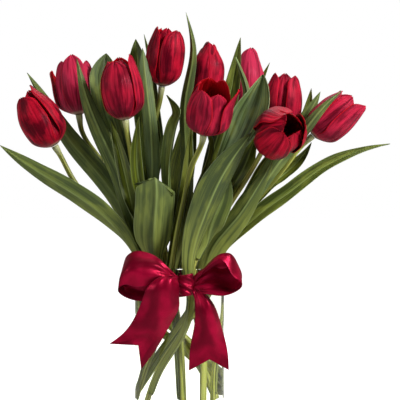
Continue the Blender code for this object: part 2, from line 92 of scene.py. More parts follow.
# Each tulip: its head's base point, the head's axis, height, greatest radius and openness (0 closed, 1 open),
# how rosy and how well lit its petals are painted (0 deep crimson in painted shade, 1 rosy red in painted
# light), how pale, yellow and brown its stem is (0 to 1), and the points its stem runs through, from the cut
# foot up.
Tulip = namedtuple("Tulip", "base axis height radius open glow stem_look stem neck", defaults=[NECK])
TULIPS = {
    "01": Tulip((-138, -18, 293), (-0.49, -0.1, 0.87), 63, 23.5, 0.1, 0.05, (0.45, 0.55, 0.1),
        [(22, 30, 11), (4, 31, 60), (-26, 16, 110), (-41, -5, 158), (-53, -8, 184), (-95, -12, 226),
         (-121, -16, 261)]),
    "02": Tulip((-116, 28, 331), (-0.14, 0.05, 0.99), 64, 24.5, 0.25, 0.8, (0.3, 0.6, 0.2),
        [(32, 20, 11), (12, 22, 60), (-15, 23, 110), (-32, 11, 158), (-48, 13, 190), (-66, 16, 224),
         (-86, 21, 272)]),
    "03": Tulip((-59, -24, 321), (-0.14, -0.06, 0.99), 66, 23, 0.12, 0.3, (0.6, 0.85, 0.0),
        [(27, 5, 11), (9, 9, 60), (-12, 5, 110), (-25, -10, 158), (-37, -13, 192), (-48, -18, 236),
         (-54, -22, 289)]),
    "04": Tulip((-20, 5, 361), (0.13, -0.05, 0.99), 66, 21.5, 0.15, 0.1, (0.2, 0.5, 0.2),
        [(3, -12, 11), (1, -7, 60), (-3, -5, 110), (-13, 3, 158), (-24, 4, 205), (-31, 4, 266),
         (-28, 4, 322)]),
    "05": Tulip((29, 37, 346), (0.08, 0.0, 0.99), 67, 19, 0.0, 0.2, (0.15, 0.4, 0.3),
        [(21, -16, 11), (20, -9, 60), (13, 10, 110), (5, 21, 158), (9, 27, 205), (24, 29, 255),
         (36, 33, 300)]),
    "06": Tulip((27, -50, 303), (0.18, -0.36, 0.92), 58, 24, 0.45, 0.4, (0.35, 0.6, 0.1),
        [(-40, -5, 11), (-27, -18, 60), (-14, -27, 110), (-8, -27, 158), (0, -30, 207), (7, -35, 240),
         (16, -42, 274)], neck=7),
    "07": Tulip((76, 62, 339), (0.08, 0.05, 0.99), 64, 20.5, 0.0, 1.0, (0.45, 0.75, 0.1),
        [(41, 2, 11), (39, 8, 60), (31, 25, 110), (18, 35, 158), (31, 42, 205), (50, 52, 260),
         (66, 58, 305)]),
    "08": Tulip((116, 36, 312), (0.08, 0.03, 0.99), 64, 22, 0.2, 0.25, (0.4, 0.6, 0.1),
        [(31, -15, 11), (32, -9, 60), (36, 5, 110), (32, 17, 158), (50, 24, 200), (78, 29, 245),
         (104, 34, 285)]),
    "09": Tulip((100, -29, 297), (0.33, -0.88, 0.3), 54, 28, 0.7, 0.1, (0.55, 0.75, 0.6),
        [(-31, -21, 11), (-14, -29, 58), (1, -32, 84), (9, -32, 110), (15, -28, 158), (42, -22, 206),
         (64, -18, 240), (83, -15, 270)], neck=8),
    "10": Tulip((150, 0, 305), (0.74, -0.08, 0.66), 62, 22.5, 0.22, 0.5, (0.45, 0.6, 0.1),
        [(-37, 9, 11), (-17, -10, 60), (11, -17, 110), (34, -8, 158), (47, -6, 188), (96, -4, 243),
         (124, -2, 277)]),
}

# Each leaf: the tulip whose stem it wraps, the height where it starts on that stem and where it lets go,
# the side of the stem it is on (degrees about Z: 0 right, 90 back, 180 left, -90 front), its full width, the
# roll of its blade half way and at the tip (0 hollow side to the front, 180 hollow side to the back, 90 edge
# on), its half-angle of cupping half way along (radians), how grey-blue it looks, how well lit it is painted
# and how yellow it looks (each 0 to 1; the second runs from painted shade to painted sun), the share of its
# length over which its tip narrows, how far its edges wave, and the points its midrib then runs through to
# its tip; last, if they aren't the usual ones, how it widens and how sharply it folds along its midrib (0 to
# 1).
Leaf = namedtuple("Leaf", "on start free side width roll cup look tip waves path spread keel",
                  defaults=[SPREAD, KEEL])
LEAVES = {
    "01": Leaf("01", 128, 162, 225, 27, (-150, -165), 0.6, (0.25, 0.5, 0.45), 0.45, 1.0,
        [(-69, -21, 201), (-106, -27, 233), (-155, -30, 264), (-197, -30, 293)]),
    "02": Leaf("02", 118, 156, 250, 26, (-170, -160), 0.7, (0.35, 0.6, 0.25), 0.42, 0.8,
        [(-54, 7, 194), (-62, 7, 216), (-89, 9, 259), (-127, 11, 304), (-157, 14, 351), (-173, 12, 377)]),
    "03": Leaf("01", 118, 158, 30, 24, (185, 160), 0.7, (0.4, 0.38, 0.2), 0.42, 0.6,
        [(-45, -7, 184), (-51, -7, 209), (-66, -7, 259), (-91, -8, 314), (-108, -8, 362), (-115, -6, 391)]),
    "04": Leaf("02", 184, 202, 20, 37, (20, 5), 0.8, (0.75, 0.5, 0.1), 0.14, 0.8,
        [(-56, 25, 238), (-68, 21, 300), (-80, 15, 340), (-85, 15, 372), (-84, 20, 400)],
         spread=(0.25, 0.75, 0.5)),
    "05": Leaf("03", 134, 158, -95, 48, (168, 168), 0.75, (0.4, 0.36, 0.45), 0.3, 0.8,
        [(-28, -33, 190), (-25, -44, 222), (-24, -48, 244), (-26, -47, 264), (-29, -44, 286)], keel=0.9),
    "06": Leaf("03", 190, 206, -25, 16, (10, 30), 0.8, (0.05, 0.8, 0.6), 0.42, 0.3,
        [(-38, -25, 226), (-43, -32, 250), (-46, -32, 290), (-44, -32, 324)]),
    "07": Leaf("03", 166, 182, -150, 17, (0, -10), 0.8, (0.1, 0.7, 0.6), 0.42, 0.3,
        [(-48, -23, 206), (-53, -24, 228), (-59, -24, 256), (-67, -16, 287), (-77, -6, 322)]),
    "08": Leaf("04", 14, 142, 160, 23, (25, 10), 0.6, (0.35, 0.35, 0.15), 0.09, 0.4,
        [(-30, 20, 205), (-38, 24, 300), (-47, 28, 372), (-51, 31, 418)]),
    "09": Leaf("04", 226, 242, 60, 11, (35, 20), 0.6, (0.6, 0.6, 0.1), 0.42, 0.3,
        [(-22, 18, 280), (-26, 29, 335), (-34, 38, 390), (-42, 40, 425)]),
    "10": Leaf("04", 186, 206, -152, 17, (175, 165), 0.6, (0.85, 0.6, 0.05), 0.2, 0.5,
        [(-30, -9, 250), (-31, -11, 300), (-36, -13, 352), (-41, -11, 402)]),
    "11": Leaf("04", 190, 206, 0, 26, (60, 50), 1.0, (0.4, 1.0, 0.45), 0.36, 0.8,
        [(-12, -10, 228), (-11, -19, 258), (-9, -20, 288), (-4, -16, 316), (-1, -8, 330), (-7, 0, 342),
         (-15, 6, 351)]),
    "12": Leaf("05", 60, 154, 235, 18, (-150, -165), 0.7, (0.3, 0.5, 0.3), 0.42, 0.6,
        [(0, 11, 205), (7, 13, 275), (6, 16, 345), (15, 15, 403), (7, 15, 446)]),
    "13": Leaf("05", 120, 156, 85, 34, (10, 0), 0.6, (0.0, 0.0, 0.25), 0.42, 0.6,
        [(-1, 36, 192), (-2, 42, 235), (3, 46, 275), (9, 48, 312), (14, 50, 352)]),
    "14": Leaf("07", 160, 184, 130, 26, (-30, 10), 0.7, (0.25, 0.3, 0.45), 0.42, 0.5,
        [(25, 46, 222), (39, 50, 291), (58, 45, 356), (70, 40, 421)]),
    "15": Leaf("07", 196, 214, -100, 26, (75, 70), 1.1, (0.8, 0.9, 0.1), 0.42, 0.5,
        [(44, 34, 240), (60, 30, 290), (76, 26, 334), (79, 25, 356), (72, 25, 378), (63, 26, 397)]),
    "16": Leaf("07", 16, 146, -116, 60, (78, 30), 1.2, (1.0, 1.0, 0.0), 0.15, 0.6,
        [(16, 21, 160), (29, 14, 203), (40, 8, 245), (57, 3, 276), (75, 0, 302), (84, -1, 320), (90, -1, 338),
         (93, -2, 356), (94, 0, 374)], spread=(0.6, 0.85, 0.34), keel=0.2),
    "17": Leaf("07", 222, 240, 60, 14, (20, 20), 0.7, (0.1, 0.7, 0.75), 0.42, 0.3,
        [(56, 72, 280), (82, 84, 330), (98, 88, 378), (107, 88, 398)]),
    "18": Leaf("09", 20, 128, -50, 39, (140, 160), 0.8, (0.25, 0.0, 0.1), 0.26, 0.8,
        [(13, -42, 152), (15, -45, 176), (26, -49, 212), (43, -53, 252), (61, -54, 282), (78, -53, 305)],
         spread=(0.35, 0.75, 0.42), keel=0.8),
    "19": Leaf("09", 168, 183, -45, 27, (-150, -150), 0.6, (0.3, 0.55, 0.25), 0.42, 0.5,
        [(34, -32, 200), (46, -31, 230), (54, -30, 263)]),
    "20": Leaf("09", 212, 224, 152, 24, (10, 20), 0.7, (0.05, 0.3, 0.35), 0.42, 0.5,
        [(55, -7, 241), (66, -3, 258), (77, -5, 280), (86, -8, 305)]),
    "21": Leaf("10", 20, 132, -100, 30, (195, 190), 0.6, (0.05, 0.28, 0.4), 0.42, 0.5,
        [(36, -19, 176), (65, -25, 214), (86, -25, 246), (99, -21, 268), (105, -18, 282)]),
    "22": Leaf("10", 232, 246, 80, 15, (20, -30), 0.8, (0.1, 0.15, 0.25), 0.42, 0.5,
        [(114, 15, 258), (126, 19, 268), (139, 18, 282), (150, 16, 298)]),
    "23": Leaf("10", 130, 158, 60, 22, (35, 40), 0.6, (0.35, 0.55, 0.3), 0.5, 1.2,
        [(64, 1, 193), (98, -3, 223), (126, -2, 243), (152, 1, 263), (200, 3, 287), (237, 2, 296)]),
    "24": Leaf("10", 212, 226, -95, 15, (170, 190), 0.6, (0.45, 0.35, 0.15), 0.42, 0.4,
        [(101, -13, 260), (122, -14, 288), (143, -27, 316), (160, -32, 336), (178, -30, 352)]),
    "25": Leaf("08", 216, 230, -80, 17, (170, 170), 0.7, (0.45, 0.65, 0.4), 0.26, 0.3,
        [(92, 18, 256), (122, 12, 298), (146, 14, 330), (160, 16, 356)]),
    "26": Leaf("08", 208, 220, 72, 15, (30, 20), 0.6, (0.4, 0.75, 0.6), 0.26, 0.3,
        [(88, 37, 240), (128, 38, 290), (146, 38, 328), (152, 38, 362)]),
    "27": Leaf("08", 18, 157, 44, 24, (30, 20), 0.7, (0.35, 0.35, 0.25), 0.42, 1.0,
        [(61, 36, 200), (86, 58, 240), (112, 76, 272), (140, 84, 296)]),
    "28": Leaf("02", 108, 148, 70, 25, (0, -10), 0.7, (0.4, 0.35, 0.2), 0.42, 1.0,
        [(-36, 38, 200), (-52, 60, 258), (-70, 76, 306), (-94, 84, 340)]),
    "29": Leaf("06", 18, 130, 100, 20, (10, -10), 0.7, (0.1, 0.05, 0.3), 0.42, 0.6,
        [(0, -13, 190), (8, -15, 245), (11, -11, 290), (14, -8, 322)]),
}
FOLDED = {"05": ((-26, 255), 0.48, 0.73)}  # a tip that hangs over: its crease's apex, left and right slopes

# The petals of each head, outer ones first: the side of the head (degrees about its axis: 0 right, 90 back,
# 180 left, 270 front), width (mm), height as a share of the head's, distance from the axis as a share of
# the head's radius, how far the tip bends outwards (mm) and how far the two edges stand off (0 to 1).
PETALS = {
    "01": [(243, 46, 1.00, 1.00, -3, 0.0), (348, 34, 1.12, 1.02, -2, 0.3), (128, 40, 1.00, 1.00, -3, 0.2),
        (300, 34, 1.02, 0.80, -3, 0.0), (186, 36, 0.94, 0.84, -3, 0.0), (62, 38, 1.06, 0.84, -3, 0.0)],
    "02": [(276, 34, 1.04, 1.00, 1, 0.2), (166, 30, 0.86, 1.06, 4, 0.5), (30, 38, 0.94, 1.00, 0, 0.4),
        (222, 34, 0.96, 0.88, 0, 0.2), (334, 32, 0.92, 0.94, 1, 0.4), (100, 40, 0.98, 0.86, 0, 0.0)],
    "03": [(256, 46, 0.97, 1.00, -3, 0.0), (338, 26, 1.06, 1.06, 2, 0.4), (128, 42, 1.00, 1.00, -3, 0.2),
        (198, 36, 0.99, 0.86, -2, 0.0), (300, 30, 0.98, 0.80, -3, 0.0), (72, 40, 1.05, 0.84, -3, 0.0)],
    "04": [(208, 32, 0.98, 1.02, 0, 0.4), (308, 42, 0.95, 1.02, 0, 0.3), (92, 42, 0.98, 1.00, -2, 0.0),
        (262, 34, 0.97, 0.80, -1, 0.3), (150, 34, 0.98, 0.84, -1, 0.2), (24, 36, 0.96, 0.88, 0, 0.2)],
    "05": [(224, 42, 1.04, 1.00, -7, 0.0), (328, 38, 1.00, 1.02, -6, 0.3), (92, 42, 1.00, 1.00, -6, 0.0),
        (278, 28, 1.00, 0.86, -5, 0.3), (150, 30, 0.98, 0.82, -5, 0.0), (30, 30, 0.97, 0.82, -5, 0.0)],
    "06": [(236, 40, 0.90, 1.00, -2, 0.0), (345, 34, 1.02, 1.08, 9, 0.6), (112, 42, 1.02, 1.00, -2, 0.4),
        (296, 36, 0.88, 0.90, -2, 0.3), (168, 34, 0.98, 0.88, -2, 0.0), (52, 38, 1.04, 0.92, -1, 0.5)],
    "07": [(282, 46, 1.14, 1.00, -2, 0.2), (34, 42, 1.04, 1.00, -3, 0.0), (152, 40, 0.98, 1.00, -3, 0.0),
        (216, 34, 0.98, 0.90, -2, 0.0), (338, 34, 1.06, 0.84, -3, 0.0), (92, 36, 1.02, 0.84, -3, 0.0)],
    "08": [(208, 32, 1.03, 1.02, -1, 0.3), (322, 36, 1.00, 1.02, 0, 0.3), (92, 42, 0.98, 1.00, -3, 0.0),
        (266, 34, 1.03, 0.78, -2, 0.2), (150, 32, 0.98, 0.84, -3, 0.0), (30, 32, 0.96, 0.84, -3, 0.0)],
    "09": [(283, 46, 0.96, 1.00, -11, 0.1), (168, 46, 1.00, 1.00, -13, 0.0), (48, 46, 1.02, 1.00, -6, 0.2),
        (215, 44, 1.00, 0.84, -15, 0.1), (105, 44, 1.00, 0.84, -9, 0.1), (345, 42, 0.96, 0.84, -9, 0.1)],
    "10": [(330, 46, 1.04, 1.04, 2, 0.3), (190, 38, 0.92, 1.00, -1, 0.3), (88, 42, 0.96, 1.00, -2, 0.0),
        (254, 34, 0.98, 0.88, -2, 0.2), (28, 36, 0.95, 0.86, 0, 0.2), (138, 34, 0.92, 0.84, -2, 0.0)],
}

# The bow. Each strip of ribbon is a net: places along the ribbon, and at each of them one edge, the middle
# and the other edge.
NETS = {
    "ribbon_loop_left": [
        [(-2, -60, 150), (-2, -62, 147), (-2, -61, 144)],
        [(-12, -64, 161), (-13, -70, 154), (-15, -69, 146)],
        [(-24, -62, 172), (-27, -74, 160), (-31, -73, 142)],
        [(-36, -60, 177), (-40, -75, 162), (-45, -75, 141)],
        [(-49, -57, 177), (-53, -74, 162), (-56, -74, 143)],
        [(-57, -53, 170), (-61, -67, 155), (-64, -69, 138)],
        [(-53, -50, 166), (-58, -58, 147), (-61, -61, 131)],
        [(-40, -50, 163), (-44, -56, 142), (-47, -59, 125)],
        [(-22, -52, 156), (-24, -56, 140), (-25, -60, 126)],
        [(-2, -57, 142), (-2, -58, 139), (-2, -58, 136)]],
    "ribbon_loop_right": [
        [(17, -60, 144), (17, -60, 148), (17, -59, 151)],
        [(25, -68, 154), (26, -63, 158), (27, -56, 152)],
        [(34, -75, 164), (36, -65, 169), (37, -55, 156)],
        [(43, -79, 170), (45, -66, 175), (46, -54, 158)],
        [(50, -80, 165), (55, -67, 176), (56, -53, 158)],
        [(57, -80, 153), (62, -66, 166), (62, -52, 157)],
        [(64, -79, 148), (67, -66, 154), (66, -53, 154)],
        [(67, -77, 142), (67, -64, 145), (65, -55, 156)],
        [(60, -76, 136), (60, -64, 139), (59, -56, 161)],
        [(48, -76, 132), (48, -65, 140), (48, -56, 159)],
        [(34, -74, 133), (34, -65, 142), (34, -57, 160)],
        [(17, -62, 135), (17, -62, 139), (17, -60, 142)]],
    "ribbon_tail_left": [
        [(-6, -66, 152), (-4, -67, 150), (-1, -65, 147)],
        [(-22, -76, 149), (-12, -79, 150), (1, -70, 140)],
        [(-31, -78, 142), (-16, -83, 142), (1, -72, 131)],
        [(-37, -76, 130), (-18, -82, 127), (1, -70, 119)],
        [(-43, -73, 115), (-23, -78, 110), (-5, -67, 106)],
        [(-52, -69, 99), (-31, -73, 92), (-14, -63, 90)],
        [(-62, -66, 88), (-43, -68, 78), (-26, -60, 70)],
        [(-74, -62, 79), (-57, -63, 65), (-40, -57, 51)]],
    "ribbon_tail_right": [
        [(14, -61, 138), (17, -62, 139), (20, -61, 138)],
        [(17, -64, 129), (24, -68, 131), (31, -63, 130)],
        [(18, -65, 118), (29, -72, 119), (39, -62, 119)],
        [(17, -64, 99), (32, -71, 99), (46, -60, 98)],
        [(13, -62, 78), (33, -68, 77), (52, -58, 74)],
        [(11, -60, 50), (33, -64, 50), (54, -57, 50)]],
}
NOTCHES = {"ribbon_tail_left": 20.0, "ribbon_tail_right": 13.0}  # depth of the cut in a free end
# Lengthwise folds: depth, waves across the ribbon, reach from a gathered end, and phase.
LOOP_FOLDS = ((1.9, 3.0, 19.0, 0.0), (1.3, 1.5, 42.0, 1.1))
TAIL_FOLDS = ((1.6, 3.0, 15.0, 0.4), (1.5, 1.4, 48.0, 0.9))
# The loops' and the knot's meshes lack the tightest pleats of gathered ribbon, so they have less cloth than
# the cut.
KNOT_CENTRE = (7.8, -59.5, 141.5)
KNOT_SIZE = (8.6, 7.0, 11.5)  # from its centre to its right, front and top
KNOT_WRAP = (130, 410)  # degrees about Z between which the knot's ribbon runs
KNOT_SLANT, KNOT_TILT = 0.55, 1.2  # of its folds, and of its top and bottom
KNOT_FOLDS = ((0.75, 8.0, 0.0), (0.45, 13.0, 1.0))  # depth, radians in half the ribbon's width, and phase
# The band's folds: radians in half its width, distance off the glass, and depth.
BAND_FOLDS, BAND_GAP, BAND_DEPTH = 19.0, 0.7, 2.5


def unit(v):
    v = np.asarray(v, float)
    return v / np.maximum(np.linalg.norm(v, axis=-1, keepdims=True), 1e-9)


def ease(x, begin, end):
    """Rises smoothly from 0 at begin to 1 at end."""
    x = np.clip((x - begin) / (end - begin), 0.0, 1.0)
    return x * x * (3 - 2 * x)


def run_of(points):
    """Length from the first point to each one, or down each column of a grid of points."""
    step = np.linalg.norm(np.diff(points, axis=0), axis=-1)
    return np.concatenate([np.zeros((1,) + step.shape[1:]), np.cumsum(step, axis=0)])


def circle(sides):
    """Angles of evenly spaced points round a circle."""
    return np.linspace(0, FULL_TURN, sides, endpoint=False)


def edge_spaced(count):
    """Places from -1 to 1, closer together towards both ends."""
    return np.sin(np.linspace(-math.pi / 2, math.pi / 2, count))


def spline(knots, values, at):
    """Natural cubic spline through values at the knots, read at the given places."""
    knots, values = np.asarray(knots, float), np.asarray(values, float)
    step = np.diff(knots)
    n = len(knots)
    matrix, right = np.eye(n), np.zeros((n,) + values.shape[1:])
    slope = (np.diff(values, axis=0).T / step).T
    for i in range(1, n - 1):
        matrix[i, i - 1 : i + 2] = step[i - 1], 2 * (step[i - 1] + step[i]), step[i]
        right[i] = 6 * (slope[i] - slope[i - 1])
    bend = np.linalg.solve(matrix, right.reshape(n, -1)).reshape(right.shape)
    k = np.clip(np.searchsorted(knots, at, side="right") - 1, 0, n - 2)
    h = step[k]
    a, b = (knots[k + 1] - at) / h, (at - knots[k]) / h
    curve = a * values[k].T + b * values[k + 1].T
    curve = curve + ((a**3 - a) * bend[k].T + (b**3 - b) * bend[k + 1].T) * h * h / 6
    return curve.T


def line_through(points, count):
    """Points and tangents at even lengths along a curve, and the fraction of it at each point it is given."""
    points = np.asarray(points, float)
    knots = run_of(points)
    fine_at = np.linspace(0, knots[-1], LINE_STEPS)
    fine = spline(knots, points, fine_at)
    run = run_of(fine)
    wanted = np.linspace(0, run[-1], count)

    def read(values):
        return np.stack([np.interp(wanted, run, column) for column in values.T], axis=1)

    tangent = unit(read(unit(np.gradient(fine, axis=0))))
    return read(fine), tangent, np.interp(knots, fine_at, run) / run[-1]


def stem_line(tulip):
    """Centre line of a stem, ending square to the base of its head."""
    base, axis = np.array(tulip.base, float), unit(tulip.axis)
    neck = tulip.neck * axis
    points = [*tulip.stem, base - neck, base - NECK_MIDDLE * neck, base - GAP * axis]
    return line_through(points, LINE_STEPS)[0]


def tube(centre, radii, sides):
    """Rings of points round a centre line, turned as little as possible from one ring to the next."""
    tangent = unit(np.gradient(centre, axis=0))
    across = unit(np.cross(tangent[0], (0.0, 1.0, 0.0)))
    turn = circle(sides)
    rings = []
    for c, t, r in zip(centre, tangent, radii):
        across = unit(across - t * np.dot(across, t))
        other = np.cross(t, across)
        around = np.outer(np.cos(turn), across) + np.outer(np.sin(turn), other)
        rings.append(c + np.broadcast_to(r, sides)[:, None] * around)
    return np.concatenate(rings)


def ring_faces(ring_count, sides):
    """Faces of a closed skin over rings of points, with both ends capped."""
    faces = [tuple(reversed(range(sides))), tuple(range((ring_count - 1) * sides, ring_count * sides))]
    for i in range(ring_count - 1):
        for k in range(sides):
            a, b = i * sides + k, i * sides + (k + 1) % sides
            faces.append((a, b, b + sides, a + sides))
    return faces


def blade_over(grid, across, along, edge):
    """The blade attribute over a grid: distance across, distance along, and nearness to an edge (0 to 1)."""
    return np.stack([np.broadcast_to(part, grid.shape[:2]) for part in (across, along, edge)], axis=2)


def taper_thickness(grid, thick, margin):
    """Thickness over a sheet, thinning to a rounded rim within a margin of its edges."""
    along = run_of(grid)
    across = run_of(grid.swapaxes(0, 1)).T
    near = np.minimum(np.minimum(across, across[:, -1:] - across), np.minimum(along, along[-1:] - along))
    return thick * np.sqrt(np.clip(near / margin, 0.0, 1.0))


def show(name, data):
    """Puts a mesh, lamp or camera into the scene as an object."""
    shown = bpy.data.objects.new(name, data)
    bpy.context.scene.collection.objects.link(shown)
    return shown


class Skin:
    """A mesh put together from skins, with per-point attributes and a material for each face."""

    def __init__(self):
        self.points, self.faces, self.made_of, self.blade, self.look = [], [], [], [], []
        self.count = 0

    def add(self, points, faces, slot, blade=None, look=(0.0, 0.0, 0.0)):
        """Slot is one material number or one per face; blade holds across, along and edge for each point."""
        points = np.asarray(points, float).reshape(-1, 3)
        blade = np.zeros((len(points), 3)) if blade is None else blade
        self.points.append(points)
        self.blade.append(np.asarray(blade, float).reshape(-1, 3))
        self.look.append(np.tile(np.asarray(look, float), (len(points), 1)))
        self.made_of.extend([slot] * len(faces) if isinstance(slot, int) else slot)
        self.faces.extend(tuple(int(index) + self.count for index in face) for face in faces)
        self.count += len(points)

    def sheet(self, grid, thick, margin, slots, blade, look=(0.0, 0.0, 0.0)):
        """A thin piece over a grid of middle points: two skins that meet in rounded edges.

        Slots are the materials of the side that across x along points to, and of the other side.
        """
        rows, columns = grid.shape[:2]
        normal = unit(np.cross(np.gradient(grid, axis=1), np.gradient(grid, axis=0)))
        thick = taper_thickness(grid, thick, margin)
        upper = grid + normal * thick[..., None] / 2
        lower = (grid - normal * thick[..., None] / 2)[1:-1, 1:-1]
        top = np.arange(rows * columns).reshape(rows, columns)
        under = top.copy()
        under[1:-1, 1:-1] = rows * columns + np.arange((rows - 2) * (columns - 2)).reshape(rows - 2, -1)
        cells = [(i, j) for i in range(rows - 1) for j in range(columns - 1)]
        faces = [(top[i, j], top[i, j + 1], top[i + 1, j + 1], top[i + 1, j]) for i, j in cells]
        faces += [(under[i, j], under[i + 1, j], under[i + 1, j + 1], under[i, j + 1]) for i, j in cells]
        points = np.concatenate([upper.reshape(-1, 3), lower.reshape(-1, 3)])
        blade = np.concatenate([blade.reshape(-1, 3), blade[1:-1, 1:-1].reshape(-1, 3)])
        self.add(points, faces, [slots[0]] * len(cells) + [slots[1]] * len(cells), blade, look)

    def build(self, name, materials, node):
        """Makes the piece with the materials given, and hides the CAD node it stands in for."""
        mesh = bpy.data.meshes.new(name)
        points = np.concatenate(self.points) * MM
        mesh.from_pydata(points.tolist(), [], self.faces)
        for made in materials:
            mesh.materials.append(made)
        mesh.polygons.foreach_set("material_index", self.made_of)
        for label, values in (("blade", self.blade), ("look", self.look)):
            layer = mesh.attributes.new(label, "FLOAT_VECTOR", "POINT")
            layer.data.foreach_set("vector", np.concatenate(values).ravel())
        mesh.validate()
        mesh.update()
        mesh.shade_smooth()
        piece = show(name, mesh)
        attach(piece, "root")
        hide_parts(node)
        return piece


# -------- leaves

# Shares of a leaf's length: where its first roll is reached and its second begins, and how far past the place
# where it lets go of its stem it has widened, opened out and come quite loose.
ROLL_REACHED, ROLL_AGAIN = 0.55, 0.5
WIDENED, OPENED, LOOSE = 0.2, 0.3, 0.25
TIP_FULLNESS, TIP_WIDTH = 0.85, 0.02  # how full the drawn-out point is, and its last width as a share
GROOVE_DEPTH, GROOVE_WIDTH = 0.05, 0.09  # of the midrib, as shares of the leaf's width and half-width
SWAY, SWAY_RUN = 0.25, 23.0  # how far the whole blade bends to and fro, and the run of one radian
EDGE_WAVES = ((17.0, 1, 1.0), (7.3, 2, 0.6))  # run of one radian, multiple of the leaf's phase, and share
OTHER_EDGE = 2.1  # phase of the one edge's waves ahead of the other's
CREASE_BEND, CREASE_HANG = 1.6, 0.18  # radius of a folded tip's crease, and how far back its end leans


def leaf_line(leaf):
    """A leaf's midrib, first up its stem: points, tangents, the way out of the stem and where it lets go."""
    line = stem_line(TULIPS[leaf.on])
    along_stem = unit(np.gradient(line, axis=0))
    side = math.radians(leaf.side)
    outward = np.array((math.cos(side), math.sin(side), 0.0))
    steps = max(3, round((leaf.free - leaf.start) / SHEATH_STEP) + 1)
    points = []
    for height in np.linspace(leaf.start, leaf.free, steps):
        at = np.argmin(abs(line[:, 2] - height))
        square = unit(outward - along_stem[at] * np.dot(outward, along_stem[at]))
        points.append(line[at] + SHEATH_RADIUS * square)
    centre, tangent, knots = line_through([*points, *leaf.path], LEAF_ROWS)
    return centre, tangent, outward, knots[steps - 1]


def leaf_directions(leaf, tangent, outward, t, free):
    """Unit vectors across a leaf's blade and towards its hollow side, all along it."""
    level = unit(np.cross(tangent, (0.0, -1.0, 0.0)))
    front = np.cross(level, tangent)
    base = math.atan2(np.dot(outward, level[0]), -np.dot(outward, front[0]))
    middle, tip = (math.radians(a) for a in leaf.roll)
    base += FULL_TURN * round((middle - base) / FULL_TURN)
    roll = base + (middle - base) * ease(t, 0.8 * free, ROLL_REACHED)
    roll = roll + (tip - middle) * ease(t, ROLL_AGAIN, 1.0)
    cos, sin = np.cos(roll)[:, None], np.sin(roll)[:, None]
    return level * cos + front * sin, front * cos - level * sin


def blade_width(t, tip_length, spread):
    """Share of a leaf's full width along it: a narrow sheath, the blade, and a drawn-out point."""
    begin, end, least = spread
    grow = least + (1 - least) * ease(t, begin, end)
    taper = np.clip((1 - t) / tip_length, 0, 1)
    return grow * np.maximum(np.sin(taper * math.pi / 2) ** TIP_FULLNESS, TIP_WIDTH)


def leaf_section(leaf, t, free, v):
    """How far a leaf's points lie to the side of its midrib, and how far towards its hollow side."""
    sheath = SHEATH_RADIUS * SHEATH_HALF_ANGLE
    blade = leaf.width / 2 * blade_width(t, leaf.tip, leaf.spread)
    half_width = sheath + (blade - sheath) * ease(t, 0.5 * free, free + WIDENED)
    unwrap = ease(t, 0.9 * free, 0.9 * free + OPENED)
    cupping = SHEATH_HALF_ANGLE + (leaf.cup - SHEATH_HALF_ANGLE) * unwrap
    radius = (half_width / cupping)[:, None]
    angle = np.outer(cupping, v)
    up = radius * (1 - np.cos(angle))
    return radius * np.sin(angle), (1 - leaf.keel) * up + leaf.keel * up[:, -1:] * abs(v)


def leaf_waves(key, v, travel):
    """How far a leaf's edges, midrib groove and whole blade wave towards its hollow side."""
    leaf, phase = LEAVES[key], int(key) * 1.7
    groove = GROOVE_DEPTH * leaf.width * np.exp(-(v / GROOVE_WIDTH) ** 2)
    up = SWAY * np.sin(travel / SWAY_RUN + phase) - groove
    for one_side, shift in ((v < 0, 0.0), (v > 0, OTHER_EDGE)):
        wave = sum(share * np.sin(travel / run + times * phase + shift) for run, times, share in EDGE_WAVES)
        up = up + leaf.waves / 2 * wave * (abs(v) ** 3 * one_side)
    return up


def leaf_grid(key):
    """Grid of points over a leaf's middle surface from its base to its tip, and its blade coordinates."""
    leaf = LEAVES[key]
    centre, tangent, outward, free = leaf_line(leaf)
    t = np.linspace(0, 1, LEAF_ROWS)
    v = edge_spaced(LEAF_COLUMNS + 1)
    travel = t[:, None] * run_of(centre)[-1]
    across, hollow = leaf_directions(leaf, tangent, outward, t, free)
    sideways, up = leaf_section(leaf, t, free, v)
    up = up + leaf_waves(key, v, travel) * ease(t, free, free + LOOSE)[:, None]
    grid = centre[:, None] + sideways[..., None] * across[:, None] + up[..., None] * hollow[:, None]
    return grid, blade_over(grid, v * leaf.width / 2, travel, abs(v))


def fold_tip(grid, apex, left_slope, right_slope):
    """Folds a blade's top over to the back along a crease that falls away on both sides of its apex."""
    over = grid.copy()
    x, y, z = np.moveaxis(grid, 2, 0)
    for one_side, slope in ((x < apex[0], -left_slope), (x >= apex[0], right_slope)):
        up = unit((slope, 1.0))
        rise = (x - apex[0]) * up[0] + (z - apex[1]) * up[1]
        bent = np.clip(rise / CREASE_BEND, 0, math.pi)
        left_over = np.maximum(rise - math.pi * CREASE_BEND, 0)
        lift = CREASE_BEND * np.sin(bent) - left_over - rise
        back = CREASE_BEND * (1 - np.cos(bent)) + CREASE_HANG * left_over
        moved = np.stack([x + lift * up[0], y + back, z + lift * up[1]], axis=2)
        over = np.where((one_side & (rise > 0))[..., None], moved, over)
    return over


def make_leaf(key, materials):
    grid, blade = leaf_grid(key)
    if key in FOLDED:
        grid = fold_tip(grid, *FOLDED[key])
    skin = Skin()
    skin.sheet(grid, LEAF_THICK, LEAF_MARGIN, (0, 1), blade, LEAVES[key].look)
    skin.build("tulip_leaf_" + key, materials, "leaf_" + key)


# -------- stems

STEM_TAPER, STEM_UNEVEN = 0.35, 0.10
NECK_SWELL, NECK_RUN = 1.1, 9.0  # how much a stem widens under its head, over how many of its line's points
CUT_END = 0.93  # share of the radius left where the foot is cut
STEM_OVAL, STEM_RIBS = 0.035, 0.02  # shares of the radius


